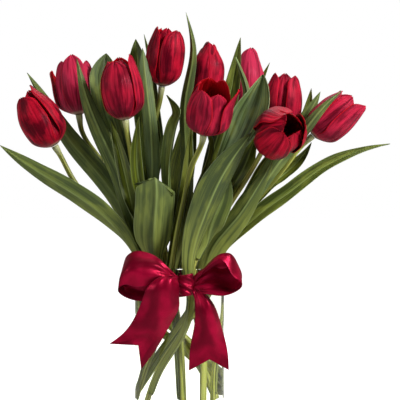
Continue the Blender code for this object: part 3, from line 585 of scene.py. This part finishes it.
def make_stem(key, made_of):
    """A round stem, a little uneven, that widens under its head."""
    line = stem_line(TULIPS[key])
    places = np.linspace(0, 1, STEM_RINGS)
    centre = line[(places * (len(line) - 1)).astype(int)]
    phase = int(key)
    swell = NECK_SWELL * np.exp(-((1 - places) * len(line) / NECK_RUN) ** 2)
    radii = STEM_RADIUS - STEM_TAPER * places + STEM_UNEVEN * np.sin(places * 31 + phase) + swell
    radii[0] *= CUT_END
    turn = circle(STEM_SIDES)
    oval = 1 + STEM_OVAL * np.cos(2 * turn + phase) + STEM_RIBS * np.cos(5 * turn)
    points = tube(centre, radii[:, None] * oval, STEM_SIDES)
    grid = points.reshape(STEM_RINGS, STEM_SIDES, 3)
    blade = blade_over(grid, turn * STEM_RADIUS, run_of(centre)[:, None], places[:, None])
    skin = Skin()
    skin.add(points, ring_faces(STEM_RINGS, STEM_SIDES), 0, blade, TULIPS[key].stem_look)
    skin.build("tulip_stem_" + key, [made_of], "stem_" + key)


# -------- heads

CUP_PLACES = (0.0, 0.09, 0.30, 0.68, 1.0, 1.12)  # heights in a head, as shares of its own
CLOSED_CUP = (0.17, 0.62, 0.97, 0.94, 0.58, 0.44)  # radius at each, as a share of its greatest
OPEN_CUP = (0.17, 0.66, 0.99, 1.00, 0.95, 0.92)
PETAL_PLACES = (0.0, 0.12, 0.35, 0.58, 0.78, 0.92, 1.0)  # shares of a petal's length
PETAL_WIDTHS = (0.30, 0.62, 0.95, 1.00, 0.84, 0.52, 0.08)  # share of its full width at each
MOST_CURL = 1.75  # greatest half-angle (radians) that a petal wraps round
PETAL_SPACING = 0.92  # below 1, rows of points lie closer together towards the tip
HUG = 0.88  # radius of a petal's own curl, as a share of the cup's
PETAL_GROOVE, PETAL_GROOVE_WIDTH = 0.9, 0.10  # depth, and width as a share of the petal's half-width
PETAL_RIBS, PETAL_WAVE, TOP_UNEVEN = 0.10, 0.55, 0.7
MOST_FLARE = 3.0  # how far a petal's edges stand off where its flare is 1
STAMENS = 6
# Points of a stamen: along the head's axis and out from it.
FOOT, KNEE, ANTHER_FOOT, ANTHER_TOP = (3, 3.5), (12, 6.5), (17, 7.2), (28, 8.2)


def head_frame(tulip):
    """A head's axis, and the ways to its right and back, square to it."""
    axis = unit(tulip.axis)
    right = unit(np.cross((0.0, 1.0, 0.0), axis))
    return axis, right, np.cross(axis, right)


def petal_grid(tulip, petal, phase):
    """Grid of points over one petal, hugging the cup that the six petals make, and its coordinates."""
    side, width, share, out, tip, flare = petal
    axis, right, back = head_frame(tulip)
    closed, spread = np.array(CLOSED_CUP), np.array(OPEN_CUP)
    s = np.linspace(0, 1, PETAL_ROWS) ** PETAL_SPACING
    v = edge_spaced(PETAL_COLUMNS + 1)
    level = s * share
    cup = tulip.radius * spline(CUP_PLACES, closed + tulip.open * (spread - closed), level)
    radius = cup * (1 + (out - 1) * ease(s, 0.0, 0.25)) + tip * ease(s, 0.55, 1.0) ** 1.5
    half = width / 2 * spline(PETAL_PLACES, PETAL_WIDTHS, s)
    curl = np.maximum(cup * HUG, half / MOST_CURL)
    angle = np.outer(half / curl, v)
    sideways, inward = curl[:, None] * np.sin(angle), curl[:, None] * (1 - np.cos(angle))

    body, top = ease(s, 0.0, 0.3)[:, None], ease(s, 0.25, 0.85)[:, None]
    groove = PETAL_GROOVE * np.exp(-(v / PETAL_GROOVE_WIDTH) ** 2) * body
    ribs = PETAL_RIBS * np.sin(v * 14 + phase) * body
    stand_off = flare * MOST_FLARE * abs(v) ** 3 * top
    wave = PETAL_WAVE * np.sin(9 * s + phase)[:, None] * v**3 * top
    outwards = radius[:, None] - inward - groove + stand_off + wave + ribs
    height = tulip.height * level[:, None] + TOP_UNEVEN * np.sin(5 * v + phase) * s[:, None] ** 4

    turn = math.radians(side)
    radial = math.cos(turn) * right + math.sin(turn) * back
    aside = -math.sin(turn) * right + math.cos(turn) * back
    grid = (np.array(tulip.base) + height[..., None] * axis + outwards[..., None] * radial
            + sideways[..., None] * aside)
    edge = np.maximum(abs(v), (s**6)[:, None])
    return grid, blade_over(grid, v * width / 2, (s * tulip.height * share)[:, None], edge)


def repeatable(a, b):
    """A share from 0 to 1 that seems random and is always the same for two whole numbers."""
    return (math.sin(a * 12.9898 + b * 78.233) * 43758.5453) % 1.0


def make_head(key, materials):
    """Six petals in two layers round a pistil and six stamens, as one piece."""
    tulip = TULIPS[key]
    skin = Skin()
    for number, petal in enumerate(PETALS[key]):
        grid, blade = petal_grid(tulip, petal, int(key) * 1.3 + number * 2.1)
        look = (repeatable(int(key), number), number / len(PETALS[key]), tulip.glow)
        skin.sheet(grid, PETAL_THICK, PETAL_MARGIN, (0, 1), blade, look)
    add_pistil(skin, tulip)
    add_stamens(skin, tulip)
    skin.build("tulip_head_" + key, materials, "flower_" + key)


def add_pistil(skin, tulip, rings=14, sides=18):
    """A pistil with a three-lobed top."""
    places = np.linspace(0, 1, rings)
    centre = np.array(tulip.base, float) + np.outer(2 + 24 * places, head_frame(tulip)[0])
    lobes = 1 + np.outer(ease(places, 0.7, 1.0), 0.35 * np.cos(3 * circle(sides)))
    radii = spline((0, 0.3, 0.7, 0.85, 1.0), (3.0, 3.6, 3.0, 3.8, 1.6), places)[:, None] * lobes
    skin.add(tube(centre, radii, sides), ring_faces(rings, sides), 2, None, (0.2, 0.5, 0.5))


def add_stamens(skin, tulip):
    """Six stamens, each a thin pale thread with a dark anther."""
    axis, right, back = head_frame(tulip)
    for number in range(STAMENS):
        around = math.radians(360 / STAMENS * number + 25)
        out = math.cos(around) * right + math.sin(around) * back
        foot, knee, neck, top = (np.array(tulip.base, float) + up * axis + aside * out
                                 for up, aside in (FOOT, KNEE, ANTHER_FOOT, ANTHER_TOP))
        thread = line_through([foot, knee, neck], 6)[0]
        skin.add(tube(thread, np.full(6, 0.7), 6), ring_faces(6, 6), 2, None, (0.6, 0.8, 0.5))
        anther = line_through([neck, (neck + top) / 2, top], 9)[0]
        swell = 0.3 + 1.3 * np.sqrt(np.sin(np.linspace(0.05, math.pi - 0.05, 9)))
        skin.add(tube(anther, swell, 8), ring_faces(9, 8), 3)


# -------- vase and water


def lathe(name, profile, made_of, node):
    """A profile of (radius, height) turned about Z and closed on the axis at both ends."""
    turn = circle(GLASS_SIDES)
    ring = np.stack([np.cos(turn), np.sin(turn), np.ones(len(turn))], axis=1)
    points = np.concatenate([ring * (radius, radius, height) for radius, height in profile])
    skin = Skin()
    skin.add(points, ring_faces(len(profile), GLASS_SIDES), 0)
    skin.build(name, [made_of], node)


def rounded(corner, radius, start, end, steps=5):
    """Points of a rounded corner in a profile, from angle start to end (degrees)."""
    turn = np.radians(np.linspace(start, end, steps))
    return [(corner[0] + radius * math.cos(a), corner[1] + radius * math.sin(a)) for a in turn]


def make_vase(glass):
    """A straight tumbler with a heavy base, softened foot and fire-polished rim."""
    inside = VASE_RADIUS - VASE_WALL
    rim, foot, corner = VASE_WALL / 2, 2.5, 4
    heights = (30.0, 60.0, 90.0, 120.0, 140.0)
    profile = [(ON_AXIS, 1.2), (VASE_RADIUS - 12, 0.9), (VASE_RADIUS - 5, 0.0)]
    profile += rounded((VASE_RADIUS - foot, foot), foot, -90, 0)
    profile += [(VASE_RADIUS, z) for z in heights]
    profile += rounded((VASE_RADIUS - rim, VASE_HEIGHT - rim), rim, 0, 180, 9)
    profile += [(inside, z) for z in reversed(heights)]
    profile += rounded((inside - corner, VASE_FLOOR + corner), corner, 0, -90, 6)
    profile += [(inside - 12, VASE_FLOOR - 0.2), (ON_AXIS, VASE_FLOOR - 0.4)]
    lathe("glass_vase", profile, glass, "vase")


def make_water(clear):
    """The water, with its surface drawn up where it meets the glass."""
    inside = VASE_RADIUS - VASE_WALL + WATER_SOAK
    floor, corner = VASE_FLOOR - WATER_SOAK, 4
    profile = [(ON_AXIS, floor - 0.4), (inside - 12, floor - 0.2)]
    profile += rounded((inside - corner, floor + corner), corner, -90, 0, 6)
    profile += [(inside, z) for z in (30.0, 60.0, 90.0, 110.0)]
    profile += [(inside - back, WATER_LEVEL + up) for back, up in MENISCUS]
    profile += [(ON_AXIS, WATER_LEVEL)]
    lathe("vase_water", profile, clear, "water")


# -------- ribbon


def net_grid(net, rows, columns):
    """Grid of points over a net: a smooth curve along each rail, then one across them."""
    net = np.array(net, float)
    knots = run_of(net[:, 1])
    rails = spline(knots, net, np.linspace(0, knots[-1], rows))
    at = edge_spaced(columns)
    return np.stack([spline((-1.0, 0.0, 1.0), rail, at) for rail in rails]), at


def gather(grid, at, both_ends, depth, folds, reach, phase):
    """Adds lengthwise folds that are deepest at the gathered ends and die out beyond their reach."""
    run = run_of(grid[:, grid.shape[1] // 2])
    fade = np.exp(-run / reach)
    if both_ends:
        fade = np.maximum(fade, np.exp(-(run[-1] - run) / reach))
    fold = np.cos(at * math.pi * folds + phase) * (1 - 0.6 * at**8)
    normal = unit(np.cross(np.gradient(grid, axis=1), np.gradient(grid, axis=0)))
    return grid + normal * (depth * fade[:, None] * fold)[..., None]


def notch(grid, at, depth):
    """Draws the edges of a free end back, so that it is cut in a V."""
    t = np.linspace(0, 1, len(grid))
    along = unit(np.gradient(grid[:, grid.shape[1] // 2], axis=0))
    pull = ease(t, 0.55, 1.0)[:, None] * depth * (abs(at) - 1.0)
    return grid + pull[..., None] * along[:, None]


def make_ribbon(node, grid, at, length, satin):
    blade = blade_over(grid, at * RIBBON_WIDTH / 2, np.linspace(0, length, len(grid))[:, None], abs(at))
    skin = Skin()
    skin.sheet(grid, RIBBON_THICK, RIBBON_MARGIN, (0, 0), blade)
    piece = skin.build("satin_" + node, [satin], node)
    width, length = RIBBON_WIDTH * MM, length * MM


def make_strip(node, satin):
    """A loop, gathered at both ends, or a free end, gathered at the knot and notched."""
    loop = node not in NOTCHES
    grid, at = net_grid(NETS[node], LOOP_ROWS if loop else TAIL_ROWS, RIBBON_COLUMNS)
    for fold in LOOP_FOLDS if loop else TAIL_FOLDS:
        grid = gather(grid, at, loop, *fold)
    if not loop:
        grid = notch(grid, at, NOTCHES[node])
    length = run_of(grid[:, RIBBON_COLUMNS // 2])[-1]
    make_ribbon(node, grid, at, length, satin)


def make_knot(satin):
    """The knot: the ribbon wrapped upright round the gathered middle, in slanting folds."""
    turn = np.radians(np.linspace(*KNOT_WRAP, KNOT_ROWS))[:, None]
    at = edge_spaced(RIBBON_COLUMNS)
    swell = 0.80 + 0.20 * np.sqrt(np.clip(1 - at**2, 0, 1))
    slant = at + KNOT_SLANT * np.cos(turn)
    fold = sum(depth * np.cos(slant * often + phase) for depth, often, phase in KNOT_FOLDS) * (1 - at**6)
    x = KNOT_CENTRE[0] + (swell * KNOT_SIZE[0] + fold) * np.cos(turn)
    y = KNOT_CENTRE[1] + (swell * KNOT_SIZE[1] + fold) * np.sin(turn)
    z = KNOT_CENTRE[2] + KNOT_SIZE[2] * at + KNOT_TILT * np.cos(turn)
    grid = np.stack([x, y, z], axis=2)
    length = run_of(grid[:, RIBBON_COLUMNS // 2])[-1]
    make_ribbon("ribbon_knot", grid, at, length, satin)


def make_band(satin):
    """The ribbon drawn once round the vase in lying folds, its ends hidden behind the knot."""
    low, high = BAND_HEIGHT
    turn = (np.linspace(0, FULL_TURN, BAND_ROWS) - math.pi / 2)[:, None]
    at = edge_spaced(BAND_COLUMNS)
    shift = 0.5 * np.sin(2 * turn + 0.6) + 0.3 * np.sin(5 * turn)
    fold = (0.5 + 0.5 * np.cos(at * BAND_FOLDS + shift)) * (1 - 0.35 * at**4)
    radius = VASE_RADIUS + BAND_GAP + BAND_DEPTH * fold * (0.8 + 0.2 * np.sin(3 * turn))
    z = (low + high) / 2 + (high - low) / 2 * at * (0.96 + 0.04 * np.sin(4 * turn + 1))
    grid = np.stack([radius * np.cos(turn), radius * np.sin(turn), z], axis=2)
    make_ribbon("ribbon_band", grid, at, FULL_TURN * (VASE_RADIUS + 2), satin)


# -------- materials

# Leaf and stem colours.
# Painted light and shade: the leaf green and the waxy bloom each come in a shaded and a sunlit colour, mixed
# per leaf.
LEAF_SHADE, LEAF_SUN = (0.012, 0.023, 0.001), (0.110, 0.175, 0.008)
LEAF_YELLOW = (0.190, 0.185, 0.008)
WAX_SHADE, WAX_SUN = (0.022, 0.037, 0.014), (0.205, 0.300, 0.180)
LEAF_STREAK, LEAF_VEIN = (0.006, 0.013, 0.001), (0.38, 0.43, 0.04)
LEAF_BAND, LEAF_PATCH = (0.012, 0.020, 0.001), (0.42, 0.47, 0.05)
MIDRIB, LEAF_EDGE_HIGHLIGHT, LEAF_UNDER = (0.26, 0.33, 0.09), (0.36, 0.42, 0.22), (0.16, 0.22, 0.10)
LEAF_FOOT_DARK, LEAF_FOOT_PALE = (0.060, 0.075, 0.003), (0.44, 0.48, 0.08)
LEAF_FOOT_HEIGHT = (0.120, 0.250)  # metres up: where a leaf's pale foot begins to fade, and where it ends
STEM_SHADE, STEM_PALE = (0.095, 0.140, 0.010), (0.420, 0.460, 0.085)
STEM_YELLOW, STEM_BROWN = (0.330, 0.290, 0.028), (0.230, 0.120, 0.020)
STEM_STREAK, STEM_NECK = (0.024, 0.036, 0.002), (0.50, 0.52, 0.30)
STEM_BAND_DARK, STEM_BAND_PALE = (0.040, 0.052, 0.002), (0.50, 0.54, 0.12)
STEM_FOOT_DARK, STEM_FOOT_PALE = (0.090, 0.110, 0.006), (0.50, 0.54, 0.11)

# Petal colours, low and high on a petal first.
INSIDE_LOW, INSIDE_HIGH = (0.11, 0.0006, 0.002), (0.46, 0.0030, 0.007)
OUTSIDE_LOW, OUTSIDE_HIGH = (0.120, 0.0003, 0.005), (0.230, 0.0006, 0.008)
PETAL_PATCH, PETAL_BAND = (0.54, 0.004, 0.022), (0.70, 0.010, 0.042)
# Next: painted light for heads painted as well lit, and painted shade in patches on the less lit ones.
PETAL_PAINTED_LIGHT, PETAL_PAINTED_SHADE = (0.60, 0.036, 0.100), (0.045, 0.0003, 0.004)
PETAL_BAND_DARK, PETAL_STREAK = (0.060, 0.0003, 0.005), (0.040, 0.0003, 0.003)
PETAL_FINE, PETAL_EDGE_LIGHT = (0.74, 0.010, 0.038), (0.60, 0.006, 0.014)
FOOT_INSIDE, FOOT_OUTSIDE = (0.05, 0.02, 0.03), (0.55, 0.42, 0.30)

# Ribbon colours.
SATIN_DARK, SATIN_LIGHT = (0.210, 0.0005, 0.014), (0.400, 0.0020, 0.032)
SATIN_FOLD_SHADE, SELVEDGE = (0.105, 0.0004, 0.007), (0.210, 0.0012, 0.022)
SATIN_WARP, SATIN_WEFT = (0.180, 0.001, 0.018), (0.520, 0.010, 0.060)


class Nodes:
    """Adds nodes to a tree and links them."""

    def __init__(self, tree):
        self.tree = tree

    def node(self, kind, **settings):
        made = self.tree.nodes.new("ShaderNode" + kind)
        for setting, value in settings.items():
            setattr(made, setting, value)
        return made

    def put(self, socket, value):
        if isinstance(value, bpy.types.NodeSocket):
            self.tree.links.new(value, socket)
        elif isinstance(value, tuple) and len(value) == 3 and socket.type == "RGBA":
            socket.default_value = (*value, 1.0)
        else:
            socket.default_value = value

    def maths(self, operation, a, b=0.0):
        made = self.node("Math", operation=operation)
        self.put(made.inputs[0], a)
        self.put(made.inputs[1], b)
        return made.outputs[0]

    def times(self, a, b):
        return self.maths("MULTIPLY", a, b)

    def plus(self, a, b):
        return self.maths("ADD", a, b)

    def parts(self, vector):
        made = self.node("SeparateXYZ")
        self.put(made.inputs[0], vector)
        return made.outputs

    def mix(self, factor, a, b):
        made = self.node("Mix", data_type="RGBA", blend_type="MIX")
        self.put(made.inputs["Factor"], factor)
        self.put(made.inputs[6], a)
        self.put(made.inputs[7], b)
        return made.outputs[2]

    def scaled(self, value, low, high, to_low=0.0, to_high=1.0, smoother=False):
        """Turns a value from low to high into one from to_low to to_high, and holds it at their ends."""
        made = self.node("MapRange", interpolation_type="SMOOTHSTEP" if smoother else "LINEAR")
        for index, item in enumerate((value, low, high, to_low, to_high)):
            self.put(made.inputs[index], item)
        return made.outputs[0]

    def noise(self, place, scale, detail, rough=0.5):
        made = self.node("TexNoise")
        self.put(made.inputs["Vector"], place)
        for name, value in (("Scale", scale), ("Detail", detail), ("Roughness", rough)):
            self.put(made.inputs[name], value)
        return made.outputs["Fac"]

    def rays(self, *kinds):
        """1 for light rays of these kinds and 0 for all others."""
        path = self.node("LightPath")
        found = path.outputs[kinds[0]]
        for kind in kinds[1:]:
            found = self.maths("MAXIMUM", found, path.outputs[kind])
        return found


class Maker(Nodes):
    """Builds one material's nodes round its Principled shader."""

    def __init__(self, name, colour, **sockets):
        self.material = bpy.data.materials.new(name)
        self.material.use_nodes = True
        self.material.diffuse_color = (*colour, 1.0)
        super().__init__(self.material.node_tree)
        self.shader = self.tree.nodes["Principled BSDF"]
        for socket, value in {"Base_Color": colour, **sockets}.items():
            self.put(self.shader.inputs[socket.replace("_", " ")], value)

    def read(self, name):
        """The three values of an attribute."""
        return self.parts(self.node("Attribute", attribute_name=name).outputs["Vector"])

    def grain(self, across, along, depth, detail, rough=0.5):
        """Noise over a blade, with so many cells per mm across and along it; depth tells pieces apart."""
        blade = self.blade
        place = self.node("CombineXYZ")
        for index, item in enumerate((self.times(blade[0], across), self.times(blade[1], along), depth)):
            self.put(place.inputs[index], item)
        return self.noise(place.outputs[0], 1.0, detail, rough)

    def place(self):
        return self.node("TexCoord").outputs["Object"]

    def bump(self, height, distance, strength):
        made = self.node("Bump")
        self.put(made.inputs["Distance"], distance)
        self.put(made.inputs["Strength"], strength)
        self.put(made.inputs["Height"], height)
        self.put(self.shader.inputs["Normal"], made.outputs[0])

    def paint(self, colour, by, *span):
        """Mixes a colour in by a share, or by the share that scaled() gives for a value and its span."""
        self.colour = self.mix(self.scaled(by, *span) if span else by, self.colour, colour)

    def finish(self, roughness):
        self.put(self.shader.inputs["Base Color"], self.colour)
        self.put(self.shader.inputs["Roughness"], roughness)
        return self.material


def leaf_material(name, under):
    """Parallel-veined green with a waxy grey bloom and a paler foot, painted sunlit or shaded leaf by leaf,
    with a painted highlight along its edges; the under side is a little paler.
    """
    made = Maker(name, (0.07, 0.14, 0.03), Specular_IOR_Level=0.18)
    made.blade = across, _, edge = made.read("blade")
    bloom, painted_sun, yellow = made.read("look")
    depth = made.times(made.plus(bloom, made.plus(painted_sun, yellow)), 37.0)
    streak = made.grain(0.75, 0.012, depth, 4.0, 0.6)
    vein = made.grain(2.6, 0.02, depth, 2.0)
    patch = made.grain(0.09, 0.03, depth, 2.0)
    band = made.grain(0.22, 0.006, depth, 1.0)
    # Painted light and shade: each leaf's green runs from the shaded to the sunlit colour by how well lit it
    # is painted.
    made.colour = made.mix(painted_sun, LEAF_SHADE, LEAF_SUN)
    made.paint(LEAF_YELLOW, made.times(yellow, 0.5))
    waxy = made.times(bloom, made.scaled(patch, 0.3, 0.7, 0.32, 0.88))
    # The waxy bloom is likewise painted shaded or sunlit per leaf.
    made.paint(made.mix(painted_sun, WAX_SHADE, WAX_SUN), waxy)
    made.paint(made.mix(0.70, made.colour, LEAF_STREAK), streak, 0.44, 0.62, 0.0, 0.80)
    made.paint(made.mix(0.55, made.colour, LEAF_VEIN), vein, 0.50, 0.68, 0.0, 0.52)
    made.paint(LEAF_BAND, band, 0.54, 0.36, 0.0, 0.65, True)
    made.paint(LEAF_PATCH, patch, 0.50, 0.68, 0.0, 0.22, True)
    made.paint(MIDRIB, made.maths("ABSOLUTE", across), 0.30, 1.50, 0.75, 0.0, True)
    foot = made.mix(made.scaled(band, 0.36, 0.52), LEAF_FOOT_DARK, LEAF_FOOT_PALE)
    made.paint(foot, made.parts(made.place())["Z"], *LEAF_FOOT_HEIGHT, 0.72, 0.0, True)
    # Painted highlight along the leaf's thin edges.
    made.paint(LEAF_EDGE_HIGHLIGHT, edge, 0.965, 0.995, 0.0, 0.75, True)
    if under:
        made.paint(LEAF_UNDER, 0.22)
    made.bump(made.plus(made.times(streak, 0.7), made.times(vein, 0.5)), 0.00035, 0.8)
    return made.finish(made.scaled(patch, 0.3, 0.7, 0.40, 0.55))


def petal_material(name, inside):
    """Crimson with fine lengthwise streaks and painted light along the thin edges; the outside is rosier or
    duskier in places, and by head carries painted light or patches of painted shade.
    """
    made = Maker(name, (0.28, 0.004, 0.02), Specular_IOR_Level=0.22, IOR=1.4,
                 Sheen_Weight=0.03 if inside else 0.05, Sheen_Roughness=0.4,
                 Specular_Tint=(1.0, 0.28, 0.38), Sheen_Tint=(1.0, 0.10, 0.20))
    made.blade = _, along, edge = made.read("blade")
    chance, number, glow = made.read("look")
    depth = made.times(made.plus(chance, number), 29.0)
    streak = made.grain(1.1, 0.035, depth, 5.0, 0.62)
    fine = made.grain(3.6, 0.05, depth, 2.0)
    patch = made.grain(0.07, 0.05, depth, 2.0)
    band = made.grain(0.26, 0.022, depth, 2.0)
    rise = made.scaled(along, 8.0, 55.0)
    if inside:
        made.colour = made.mix(rise, INSIDE_LOW, INSIDE_HIGH)
    else:
        made.colour = made.mix(rise, OUTSIDE_LOW, OUTSIDE_HIGH)
        made.paint(PETAL_PATCH, patch, 0.42, 0.66, 0.0, 0.75)
        made.paint(PETAL_BAND, band, 0.52, 0.66, 0.0, 0.45, True)
        # Painted light by head: a rosy lift on heads painted as well lit, and dusky patches of painted shade
        # on the rest.
        made.paint(PETAL_PAINTED_LIGHT, made.times(glow, 0.75))
        less_lit = made.maths("SUBTRACT", 1.0, glow)
        made.paint(PETAL_PAINTED_SHADE, made.times(made.scaled(patch, 0.50, 0.36, 0.0, 0.7, True), less_lit))
        made.paint(PETAL_BAND_DARK, band, 0.50, 0.36, 0.0, 0.65, True)
    made.paint(made.mix(0.62, made.colour, PETAL_STREAK), streak, 0.42, 0.62, 0.0, 0.42)
    made.paint(PETAL_FINE, fine, 0.54, 0.72, 0.0, 0.22)
    # Painted light: light showing through and glinting on the thin edges and tips.
    made.paint(PETAL_EDGE_LIGHT, edge, 0.90, 0.99, 0.0, 0.65, True)
    made.paint(FOOT_INSIDE if inside else FOOT_OUTSIDE, along, 0.5, 4.0, 0.7, 0.0, True)
    ridges = made.plus(streak, made.times(fine, 0.4))
    made.bump(made.plus(ridges, made.times(band, 3.0)), 0.00035, 0.8)
    return made.finish(made.scaled(patch, 0.3, 0.7, 0.34, 0.46))


def stem_material():
    """Streaked green, blotched with brown, that pales towards the foot and just below the head."""
    made = Maker("tulip_stem", (0.21, 0.27, 0.04), Specular_IOR_Level=0.35)
    made.blade = _, _, height = made.read("blade")
    pale, yellow, brown = made.read("look")
    depth = made.times(made.plus(pale, yellow), 23.0)
    streak = made.grain(0.9, 0.02, depth, 4.0, 0.6)
    patch = made.grain(0.1, 0.05, depth, 2.0)
    band = made.grain(0.30, 0.010, depth, 1.0)
    made.colour = made.mix(pale, STEM_SHADE, STEM_PALE)
    made.paint(STEM_YELLOW, made.times(yellow, 0.6))
    made.paint(STEM_BROWN, made.times(brown, made.scaled(patch, 0.35, 0.65, 0.1, 0.8)))
    made.paint(made.mix(0.65, made.colour, STEM_STREAK), streak, 0.44, 0.62, 0.0, 0.8)
    made.paint(STEM_BAND_DARK, band, 0.52, 0.38, 0.0, 0.6, True)
    made.paint(STEM_BAND_PALE, band, 0.52, 0.64, 0.0, 0.5, True)
    foot = made.mix(made.scaled(band, 0.36, 0.52), STEM_FOOT_DARK, STEM_FOOT_PALE)
    made.paint(foot, height, 0.28, 0.46, 0.55, 0.0, True)
    made.paint(STEM_NECK, height, 0.955, 1.0, 0.0, 0.65, True)
    made.bump(streak, 0.00025, 0.7)
    return made.finish(made.scaled(patch, 0.3, 0.7, 0.38, 0.52))


def satin_material():
    """Double-faced satin: a fine close weave with a silky sheen, painted shade in its bumped folds and darker
    woven edges.
    """
    made = Maker("crimson_satin_weave", (0.33, 0.003, 0.030), Specular_IOR_Level=0.35, Sheen_Weight=0.25,
                 Sheen_Roughness=0.3, Metallic=0.45, Specular_Tint=(1.0, 0.30, 0.46),
                 Sheen_Tint=(1.0, 0.14, 0.28))
    made.blade = _, _, edge = made.read("blade")
    weft = made.grain(0.5, 4.2, 0.0, 2.0)
    warp = made.grain(6.0, 0.4, 5.0, 2.0)
    cloud = made.grain(0.05, 0.06, 9.0, 3.0)
    fold = made.grain(0.055, 0.030, 3.0, 0.0)
    made.colour = made.mix(made.scaled(cloud, 0.35, 0.65), SATIN_DARK, SATIN_LIGHT)
    # Painted shade in the creases of the bumped folds.
    made.paint(SATIN_FOLD_SHADE, fold, 0.48, 0.62, 0.0, 0.70, True)
    made.paint(SATIN_WARP, warp, 0.45, 0.75, 0.0, 0.35)
    made.paint(SATIN_WEFT, weft, 0.50, 0.75, 0.0, 0.22)
    made.paint(SELVEDGE, edge, 0.955, 0.975, 0.0, 0.6, True)
    weave = made.plus(made.times(warp, 0.6), made.times(weft, 0.5))
    made.bump(made.plus(weave, made.times(fold, 60.0)), 0.00012, 1.0)
    return made.finish(made.scaled(cloud, 0.3, 0.7, 0.27, 0.35))


def inner_material(name, colour, lighter, scale, roughness):
    """One grainy colour, for what stands inside a head."""
    made = Maker(name, colour, Specular_IOR_Level=0.3)
    grain = made.noise(made.place(), scale, 3.0)
    made.colour = made.mix(made.scaled(grain, 0.35, 0.7), colour, lighter)
    made.bump(grain, 0.0003, 0.8)
    return made.finish(roughness)


def clear_material(name, colour, ior, ripple):
    """Slightly smeared glass or water that lets the lamps' light through to what stands in it."""
    made = Maker(name, colour, Transmission_Weight=1.0, IOR=ior)
    place = made.place()
    made.bump(made.noise(place, 24.0, 1.0), ripple, 1.0)
    smear = made.scaled(made.noise(place, 60.0, 4.0), 0.45, 0.75, 0.0, 0.035)
    made.put(made.shader.inputs["Roughness"], smear)
    through = made.node("BsdfTransparent")
    made.put(through.inputs[0], colour)
    choose = made.node("MixShader")
    made.put(choose.inputs[0], made.rays("Is Shadow Ray", "Is Diffuse Ray", "Is Glossy Ray"))
    made.put(choose.inputs[1], made.shader.outputs[0])
    made.put(choose.inputs[2], through.outputs[0])
    made.put(made.tree.nodes["Material Output"].inputs["Surface"], choose.outputs[0])
    return made.material


# -------- room, light and camera

CENTRE = (0.023, 0.0, 0.2326)  # where the camera and the lamps point, on the vase's middle plane
EYE = (0.023, -1.25, 0.2326)
LENS, SENSOR = 100.1, 36.0
WHITE = (1.0, 1.0, 1.0)
FLOOR_HALF = 12.0
FLOOR_GLOW, FLOOR_GLOW_UNSEEN = 1.0, 0.05  # what is seen and refracted, and what lights the object
ROOM_FRONT, ROOM_BACK = 0.05, 0.22  # how bright the room's front and back are as light on the object
LAMPS = {  # place, diameter (metres) and watts
    "key_softbox": ((1.06, -0.76, 1.05), 0.40, 29.0),
    "fill_softbox": ((-1.1, -0.75, 0.75), 0.6, 6.0),
    "top_softbox": ((0.1, 0.45, 1.3), 0.9, 5.0),
}


def make_floor():
    """A wide white floor."""
    mesh = bpy.data.meshes.new("floor")
    corners = [(x * FLOOR_HALF, y * FLOOR_HALF, 0) for x, y in ((-1, -1), (1, -1), (1, 1), (-1, 1))]
    mesh.from_pydata(corners, [], [(0, 1, 2, 3)])
    floor = show("floor", mesh)
    made = Maker("white_floor", (0.60, 0.60, 0.60), Roughness=0.7, Specular_IOR_Level=0.2,
                 Emission_Color=WHITE)
    seen = made.rays("Is Camera Ray", "Is Transmission Ray")
    glow = made.scaled(seen, 0.0, 1.0, FLOOR_GLOW_UNSEEN, FLOOR_GLOW)
    made.put(made.shader.inputs["Emission Strength"], glow)
    mesh.materials.append(made.material)


def make_room():
    """An even white surround that lights the object more from the back than from the front."""
    world = bpy.data.worlds.new("white_room")
    bpy.context.scene.world = world
    world.use_nodes = True
    made = Nodes(world.node_tree)
    back = made.tree.nodes["Background"]
    made.put(back.inputs["Color"], WHITE)
    seen = made.rays("Is Camera Ray", "Is Transmission Ray")
    towards = made.parts(made.node("TexCoord").outputs["Generated"])
    wall = made.scaled(towards["Y"], -0.8, 0.8, ROOM_FRONT, ROOM_BACK)
    made.put(back.inputs["Strength"], made.scaled(seen, 0.0, 1.0, wall, 1.0))


def make_lamp(name, place, size, watts):
    lamp = bpy.data.lights.new(name, "AREA")
    lamp.shape = "DISK"
    lamp.size = size
    lamp.energy = watts
    holder = show(name, lamp)
    holder.location = place
    holder.rotation_euler = (Vector(CENTRE) - Vector(place)).to_track_quat("-Z", "Y").to_euler()


def make_camera():
    camera = bpy.data.cameras.new("camera")
    camera.lens = LENS
    camera.sensor_width = SENSOR
    holder = show("camera", camera)
    holder.location = EYE
    holder.rotation_euler = (math.pi / 2, 0.0, 0.0)
    bpy.context.scene.camera = holder


# -------- all of it


def main():
    make_camera()
    make_floor()
    make_room()
    for name, lamp in LAMPS.items():
        make_lamp(name, *lamp)
    bpy.context.scene.view_settings.view_transform = "Standard"

    leaf_faces = [leaf_material("tulip_leaf_upper", False), leaf_material("tulip_leaf_under", True)]
    petals = [petal_material("petal_outside", False), petal_material("petal_inside", True)]
    petals.append(inner_material("pistil", (0.42, 0.44, 0.12), (0.62, 0.62, 0.28), 700.0, 0.45))
    petals.append(inner_material("anther", (0.020, 0.010, 0.022), (0.060, 0.030, 0.050), 2600.0, 0.8))
    green = stem_material()
    satin = satin_material()
    make_vase(clear_material("glass_clear", (0.995, 1.0, 0.985), 1.5, 0.0002))
    make_water(clear_material("water_clear", (1.0, 1.0, 0.97), 1.33, 0.0001))
    for key in TULIPS:
        make_stem(key, green)
        make_head(key, petals)
    for key in LEAVES:
        make_leaf(key, leaf_faces)
    make_band(satin)
    make_knot(satin)
    for node in NETS:
        make_strip(node, satin)


main()
